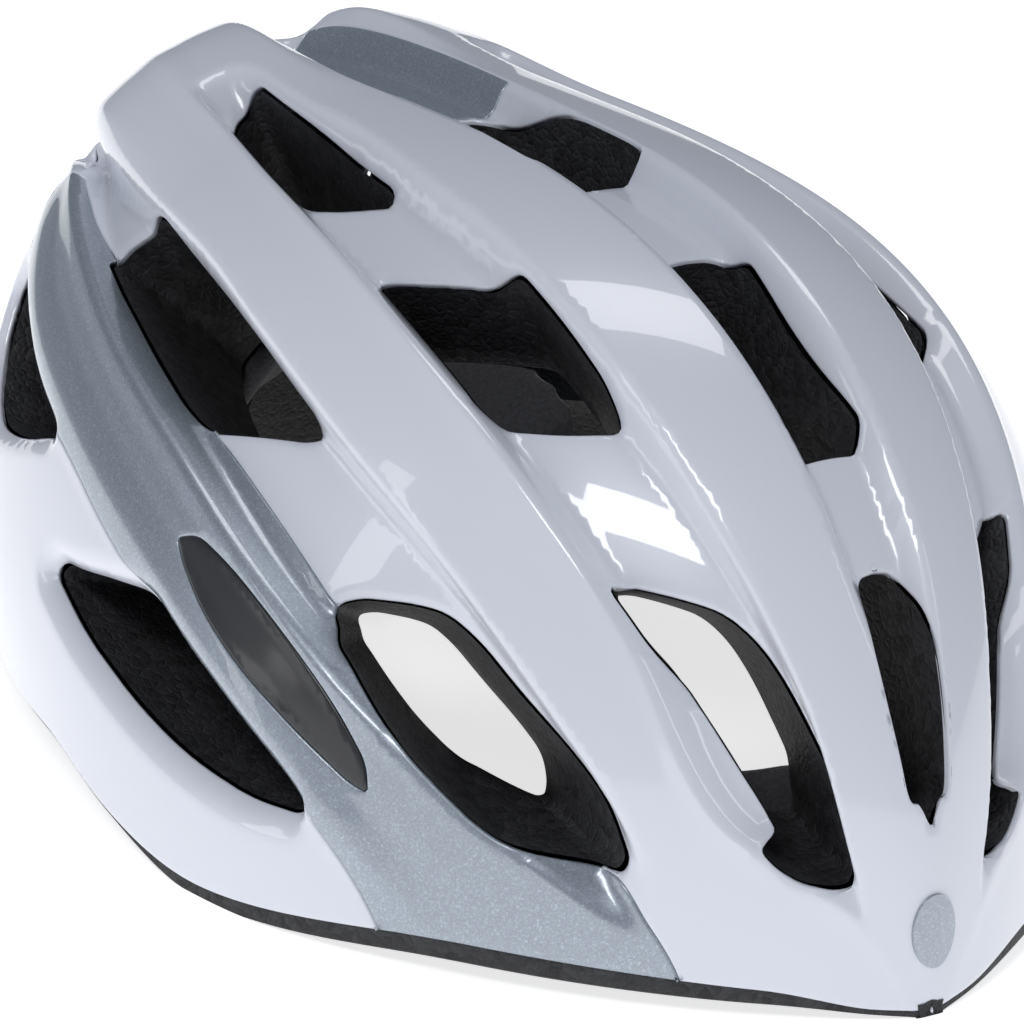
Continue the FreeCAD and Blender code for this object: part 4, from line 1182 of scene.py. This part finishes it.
def strap_stitches(name, route, sign, width, thickness):
    """Two rows of stitches, just proud of the inner face of a strap, near its two edges."""
    line = smooth_route(route) * (sign, 1, 1)
    along = np.gradient(line, axis=0)
    out = np.cross(along, (0, 0, 1))
    out /= np.linalg.norm(out, axis=1, keepdims=True)
    rows = []
    for edge in (-1, 1):
        place = line - sign * out * (thickness / 2)
        place[:, 2] += edge * (width / 2 - STITCH_INSET)
        label = "upper" if edge > 0 else "lower"
        rows.append(stitches(f"{name}_{label}", place[2:-2], STITCH_SPACING, STITCH_LENGTH,
                             THREAD_RADIUS))
    return rows


def puffed_pad(node):
    """Pad swollen from its solid: remeshed, blown up a little as cloth and smoothed."""
    mesh = frame["nodes"][node].data.copy()
    piece = bpy.data.objects.new(node + "_cover", mesh)
    bpy.context.scene.collection.objects.link(piece)
    if node == "brow_pad":
        work = bmesh.new()
        work.from_mesh(mesh)
        bmesh.ops.remove_doubles(work, verts=work.verts, dist=0.00002)
        for side in (-1, 1):
            geometry = work.verts[:] + work.edges[:] + work.faces[:]
            cut = bmesh.ops.bisect_plane(work, geom=geometry, plane_co=(side * BROW_PAD_HALF_WIDTH, 0, 0),
                                         plane_no=(side, 0, 0), clear_outer=True)
            edges = [item for item in cut["geom_cut"] if isinstance(item, bmesh.types.BMEdge)]
            bmesh.ops.holes_fill(work, edges=edges)
        work.to_mesh(mesh)
        work.free()
    remesh = piece.modifiers.new("remesh", "REMESH")
    remesh.mode, remesh.voxel_size = "VOXEL", PAD_VOXEL
    smoothing = piece.modifiers.new("soften", "SMOOTH")
    smoothing.factor, smoothing.iterations = 0.5, 8
    bake(piece)
    start = np.array([vertex.co for vertex in piece.data.vertices])
    swell_cloth(piece, start)
    rounding = piece.modifiers.new("rounding", "SUBSURF")
    rounding.levels = rounding.render_levels = 1
    bake(piece)
    piece.data.shade_smooth()
    return piece


def bake(piece):
    """Turn a piece's modifiers into its mesh."""
    bpy.context.view_layer.update()
    graph = bpy.context.evaluated_depsgraph_get()
    old = piece.data
    piece.data = bpy.data.meshes.new_from_object(piece.evaluated_get(graph))
    piece.data.name = piece.name
    piece.modifiers.clear()
    bpy.data.meshes.remove(old)


def swell_cloth(piece, start):
    """Blow a pad up as cloth, and keep every point near where it began."""
    cloth = piece.modifiers.new("cloth", "CLOTH")
    cloth.settings.use_pressure = True
    cloth.settings.uniform_pressure_force = 4.0
    cloth.settings.effector_weights.gravity = 0.0
    cloth.point_cache.frame_start, cloth.point_cache.frame_end = 1, 20
    for number in range(1, 21):
        bpy.context.scene.frame_set(number)
    bake(piece)
    bpy.context.scene.frame_set(1)
    moved = np.array([vertex.co for vertex in piece.data.vertices]) - start
    reach = np.linalg.norm(moved, axis=1, keepdims=True)
    moved *= np.minimum(1, PAD_SWELL / np.maximum(reach, 1e-9))
    piece.data.vertices.foreach_set("co", (start + moved).ravel())
    piece.data.update()


# --- studio -------------------------------------------------------------------------------
FLOOR_GLOW = 0.72
SKY_COLOUR, SKY_STRENGTH = (0.76, 0.83, 1.0, 1), 0.23
# Area lights: name, place, aim, (width, height) in metres, and power in watts.
LAMPS = (("key_softbox", (-1.3, -0.9, 1.8), (0, 0, 0.08), (0.9, 0.45), 13.0),
         ("top_softbox", (0.3, 0.5, 2.2), (0, 0, 0.08), (1.0, 0.6), 7.5),
         ("front_strip", (0.9, -1.6, 1.0), (0, 0, 0.07), (0.2, 1.2), 2.2),
         ("side_strip", (-1.9, 0.4, 0.7), (0, 0, 0.07), (0.25, 1.3), 2.6))
CAMERA_AZIMUTH, CAMERA_ELEVATION, CAMERA_ROLL = -33.10, 20.72, 3.17
CAMERA_DISTANCE = 1.09155
CAMERA_TARGET = (0, 0, 0.069)
CAMERA_LENS, SENSOR_WIDTH = 181.15, 36.0
CAMERA_SHIFT = (-0.0391, -0.0705)


# --- sizes a user may change --------------------------------------------------------------
class HelmetSettings(bpy.types.PropertyGroup):
    """Sizes and colours of the finished helmet."""

    lip_depth: bpy.props.FloatProperty(
        name="Lip depth", description="How far the shells' edges turn into the vents, in metres",
        default=LIP_DEPTH * MM, unit="LENGTH")
    floor_colour: bpy.props.FloatVectorProperty(
        name="Floor colour", description="Colour of the studio floor", default=(0.93, 0.93, 0.93),
        subtype="COLOR")
    floor_size: bpy.props.FloatProperty(
        name="Floor size", description="Side of the studio floor, in metres", default=24.0,
        unit="LENGTH")


CHARTS = []


def chart():
    if not CHARTS:
        CHARTS.append(HelmetChart())
    return CHARTS[0]


def settings():
    return bpy.context.scene.helmet_settings


def lip_profile():
    return LIP_PROFILE[:-1] + [(0.0, settings().lip_depth / MM)]


# --- operators ----------------------------------------------------------------------------
class BuildShells(bpy.types.Operator):
    """Make the white outer and lower shells"""

    bl_idname = "helmet.build_shells"
    bl_label = "Shells"

    def execute(self, context):
        for region, name, node in ((0, "outer_shell_skin", "outer_shell"),
                                   (2, "lower_shell_skin", "lower_shell")):
            points, faces = chart().part(region)
            piece = make_object(name, *add_lip(points, faces, lip_profile()))
            dress(piece, "shell_white", "helmet", node)
        return {"FINISHED"}


class BuildBands(bpy.types.Operator):
    """Make the silver bands, their black insets and the rear channel panel"""

    bl_idname = "helmet.build_bands"
    bl_label = "Silver bands"

    def execute(self, context):
        for region, name, slot in ((1, "side_band", "band_silver"), (3, "side_inset", "inset_black")):
            points, faces = chart().part(region, both_sides=False)
            for side, sign in (("left", 1), ("right", -1)):
                turned = faces if sign > 0 else faces[:, ::-1]
                piece = make_object(f"{name}_skin_{side}",
                                    *add_lip(points * (sign, 1, 1), turned, lip_profile()))
                dress(piece, slot, "helmet", f"{name}_{side}")
        points, faces = chart().part(4)
        piece = make_object("rear_channel_skin", *add_lip(points, faces, lip_profile()))
        dress(piece, "band_silver", "helmet", "rear_channel_panel")
        return {"FINISHED"}


class BuildLiner(bpy.types.Operator):
    """Make the foam liner with its vent walls and rim"""

    bl_idname = "helmet.build_liner"
    bl_label = "Foam liner"

    def execute(self, context):
        dress(build_liner(chart()), "eps_foam", "helmet", "eps_liner")
        return {"FINISHED"}


class BuildPadding(bpy.types.Operator):
    """Make the cloth-covered pads"""

    bl_idname = "helmet.build_padding"
    bl_label = "Padding"

    def execute(self, context):
        for node, body in PADS.items():
            piece = puffed_pad(node)
            dress(piece, "pad_fabric", body, node)
        return {"FINISHED"}


class BuildStraps(bpy.types.Operator):
    """Make the webbing straps and the headband arms"""

    bl_idname = "helmet.build_straps"
    bl_label = "Straps and headband"

    def execute(self, context):
        for side, sign in (("left", 1), ("right", -1)):
            for node, route in (("front_strap", FRONT_STRAP), ("rear_strap", REAR_STRAP)):
                piece = strap(f"{node}_webbing_{side}", route, sign, STRAP_WIDTH, STRAP_THICKNESS)
                dress(piece, "webbing", "helmet", f"{node}_{side}")
                for row in strap_stitches(f"{node}_stitches_{side}", route, sign, STRAP_WIDTH,
                                          STRAP_THICKNESS):
                    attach(row, "helmet")
            arm = strap(f"headband_arm_{side}", HEADBAND, sign, HEADBAND_WIDTH, HEADBAND_THICKNESS)
            arm.data.materials.append(finish("cradle_plastic"))
            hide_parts(f"headband_{side}")
            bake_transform(arm)
        piece = strap("chin_strap_webbing_left", CHIN_STRAP + [(26.3, -90, 10)], 1,
                      STRAP_WIDTH, STRAP_THICKNESS)
        dress(piece, "webbing", "helmet", "chin_strap_left")
        piece = strap("chin_strap_webbing_right", CHIN_STRAP + CHIN_STRAP_END, -1,
                      STRAP_WIDTH, STRAP_THICKNESS)
        piece.data.materials.append(finish("webbing"))
        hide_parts("chin_strap_right")
        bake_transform(piece)
        return {"FINISHED"}


class FinishHardware(bpy.types.Operator):
    """Give the remaining solid parts their finishes"""

    bl_idname = "helmet.finish_hardware"
    bl_label = "Hardware finishes"

    def execute(self, context):
        slots = {part["node"]: part["material_slot"] for part in frame["record"]["subparts"]}
        for node, slot in slots.items():
            thing = bpy.data.objects.get(node)
            if thing is None or thing.hide_render or slot == "webbing":
                continue
            for material_slot in thing.material_slots:
                material_slot.material = finish(slot)
        return {"FINISHED"}


class BuildStage(bpy.types.Operator):
    """Make the floor, the lights and the camera"""

    bl_idname = "helmet.build_stage"
    bl_label = "Stage"

    def execute(self, context):
        half = settings().floor_size / 2
        mesh = bpy.data.meshes.new("studio_floor")
        mesh.from_pydata([(-half, -half, 0), (half, -half, 0), (half, half, 0), (-half, half, 0)],
                         [], [(0, 1, 2, 3)])
        floor = bpy.data.objects.new("studio_floor", mesh)
        context.scene.collection.objects.link(floor)
        paint = Paint("studio_floor")
        grain = paint.noise(3.0)
        colour = settings().floor_colour
        tint = paint.blend(grain, rgba([c * 0.99 for c in colour]), rgba(colour))
        mesh.materials.append(paint.surface(Base_Color=tint, Roughness=0.9, Emission_Strength=FLOOR_GLOW,
                                            Emission_Color=(1, 1, 1, 1)))
        world = bpy.data.worlds.new("studio")
        world.use_nodes = True
        background = world.node_tree.nodes["Background"]
        background.inputs[0].default_value = SKY_COLOUR
        background.inputs[1].default_value = SKY_STRENGTH
        context.scene.world = world
        context.scene.view_settings.view_transform = "Standard"
        for name, place, target, size, power in LAMPS:
            data = bpy.data.lights.new(name, "AREA")
            data.shape, data.size, data.size_y, data.energy = "RECTANGLE", size[0], size[1], power
            lamp = bpy.data.objects.new(name, data)
            context.scene.collection.objects.link(lamp)
            direction = Vector(target) - Vector(place)
            turn = direction.to_track_quat("-Z", "Y").to_matrix().to_4x4()
            lamp.matrix_world = Matrix.Translation(place) @ turn
        self.add_camera(context)
        return {"FINISHED"}

    def add_camera(self, context):
        azimuth, elevation = math.radians(CAMERA_AZIMUTH), math.radians(CAMERA_ELEVATION)
        roll = math.radians(CAMERA_ROLL)
        right = Vector((math.cos(azimuth), math.sin(azimuth), 0))
        back = Vector((math.sin(azimuth) * math.cos(elevation),
                       -math.cos(azimuth) * math.cos(elevation), math.sin(elevation)))
        up = back.cross(right)
        turned_right = math.cos(roll) * right + math.sin(roll) * up
        turned_up = -math.sin(roll) * right + math.cos(roll) * up
        data = bpy.data.cameras.new("camera")
        data.sensor_width = SENSOR_WIDTH
        data.lens = CAMERA_LENS
        data.shift_x, data.shift_y = CAMERA_SHIFT
        data.clip_start, data.clip_end = 0.05, 60.0
        camera = bpy.data.objects.new("camera", data)
        context.scene.collection.objects.link(camera)
        matrix = Matrix((turned_right, turned_up, back)).transposed().to_4x4()
        matrix.translation = Vector(CAMERA_TARGET) + back * CAMERA_DISTANCE
        camera.matrix_world = matrix
        context.scene.camera = camera


OPERATORS = (BuildShells, BuildBands, BuildLiner, BuildPadding, BuildStraps, FinishHardware, BuildStage)


class HelmetPanel(bpy.types.Panel):
    """Buttons for every piece of the helmet"""

    bl_idname = "VIEW3D_PT_helmet"
    bl_label = "Helmet"
    bl_space_type = "VIEW_3D"
    bl_region_type = "UI"
    bl_category = "Helmet"

    def draw(self, context):
        layout = self.layout
        for name in HelmetSettings.__annotations__:
            layout.prop(context.scene.helmet_settings, name)
        for operator in OPERATORS:
            layout.operator(operator.bl_idname)


CLASSES = (HelmetSettings, *OPERATORS, HelmetPanel)


def register():
    for item in CLASSES:
        bpy.utils.register_class(item)
    bpy.types.Scene.helmet_settings = bpy.props.PointerProperty(type=HelmetSettings)


def unregister():
    del bpy.types.Scene.helmet_settings
    for item in reversed(CLASSES):
        bpy.utils.unregister_class(item)


def main():
    register()
    for operator in OPERATORS:
        group, name = operator.bl_idname.split(".")
        getattr(getattr(bpy.ops, group), name)()


if __name__ == "__main__":
    main()
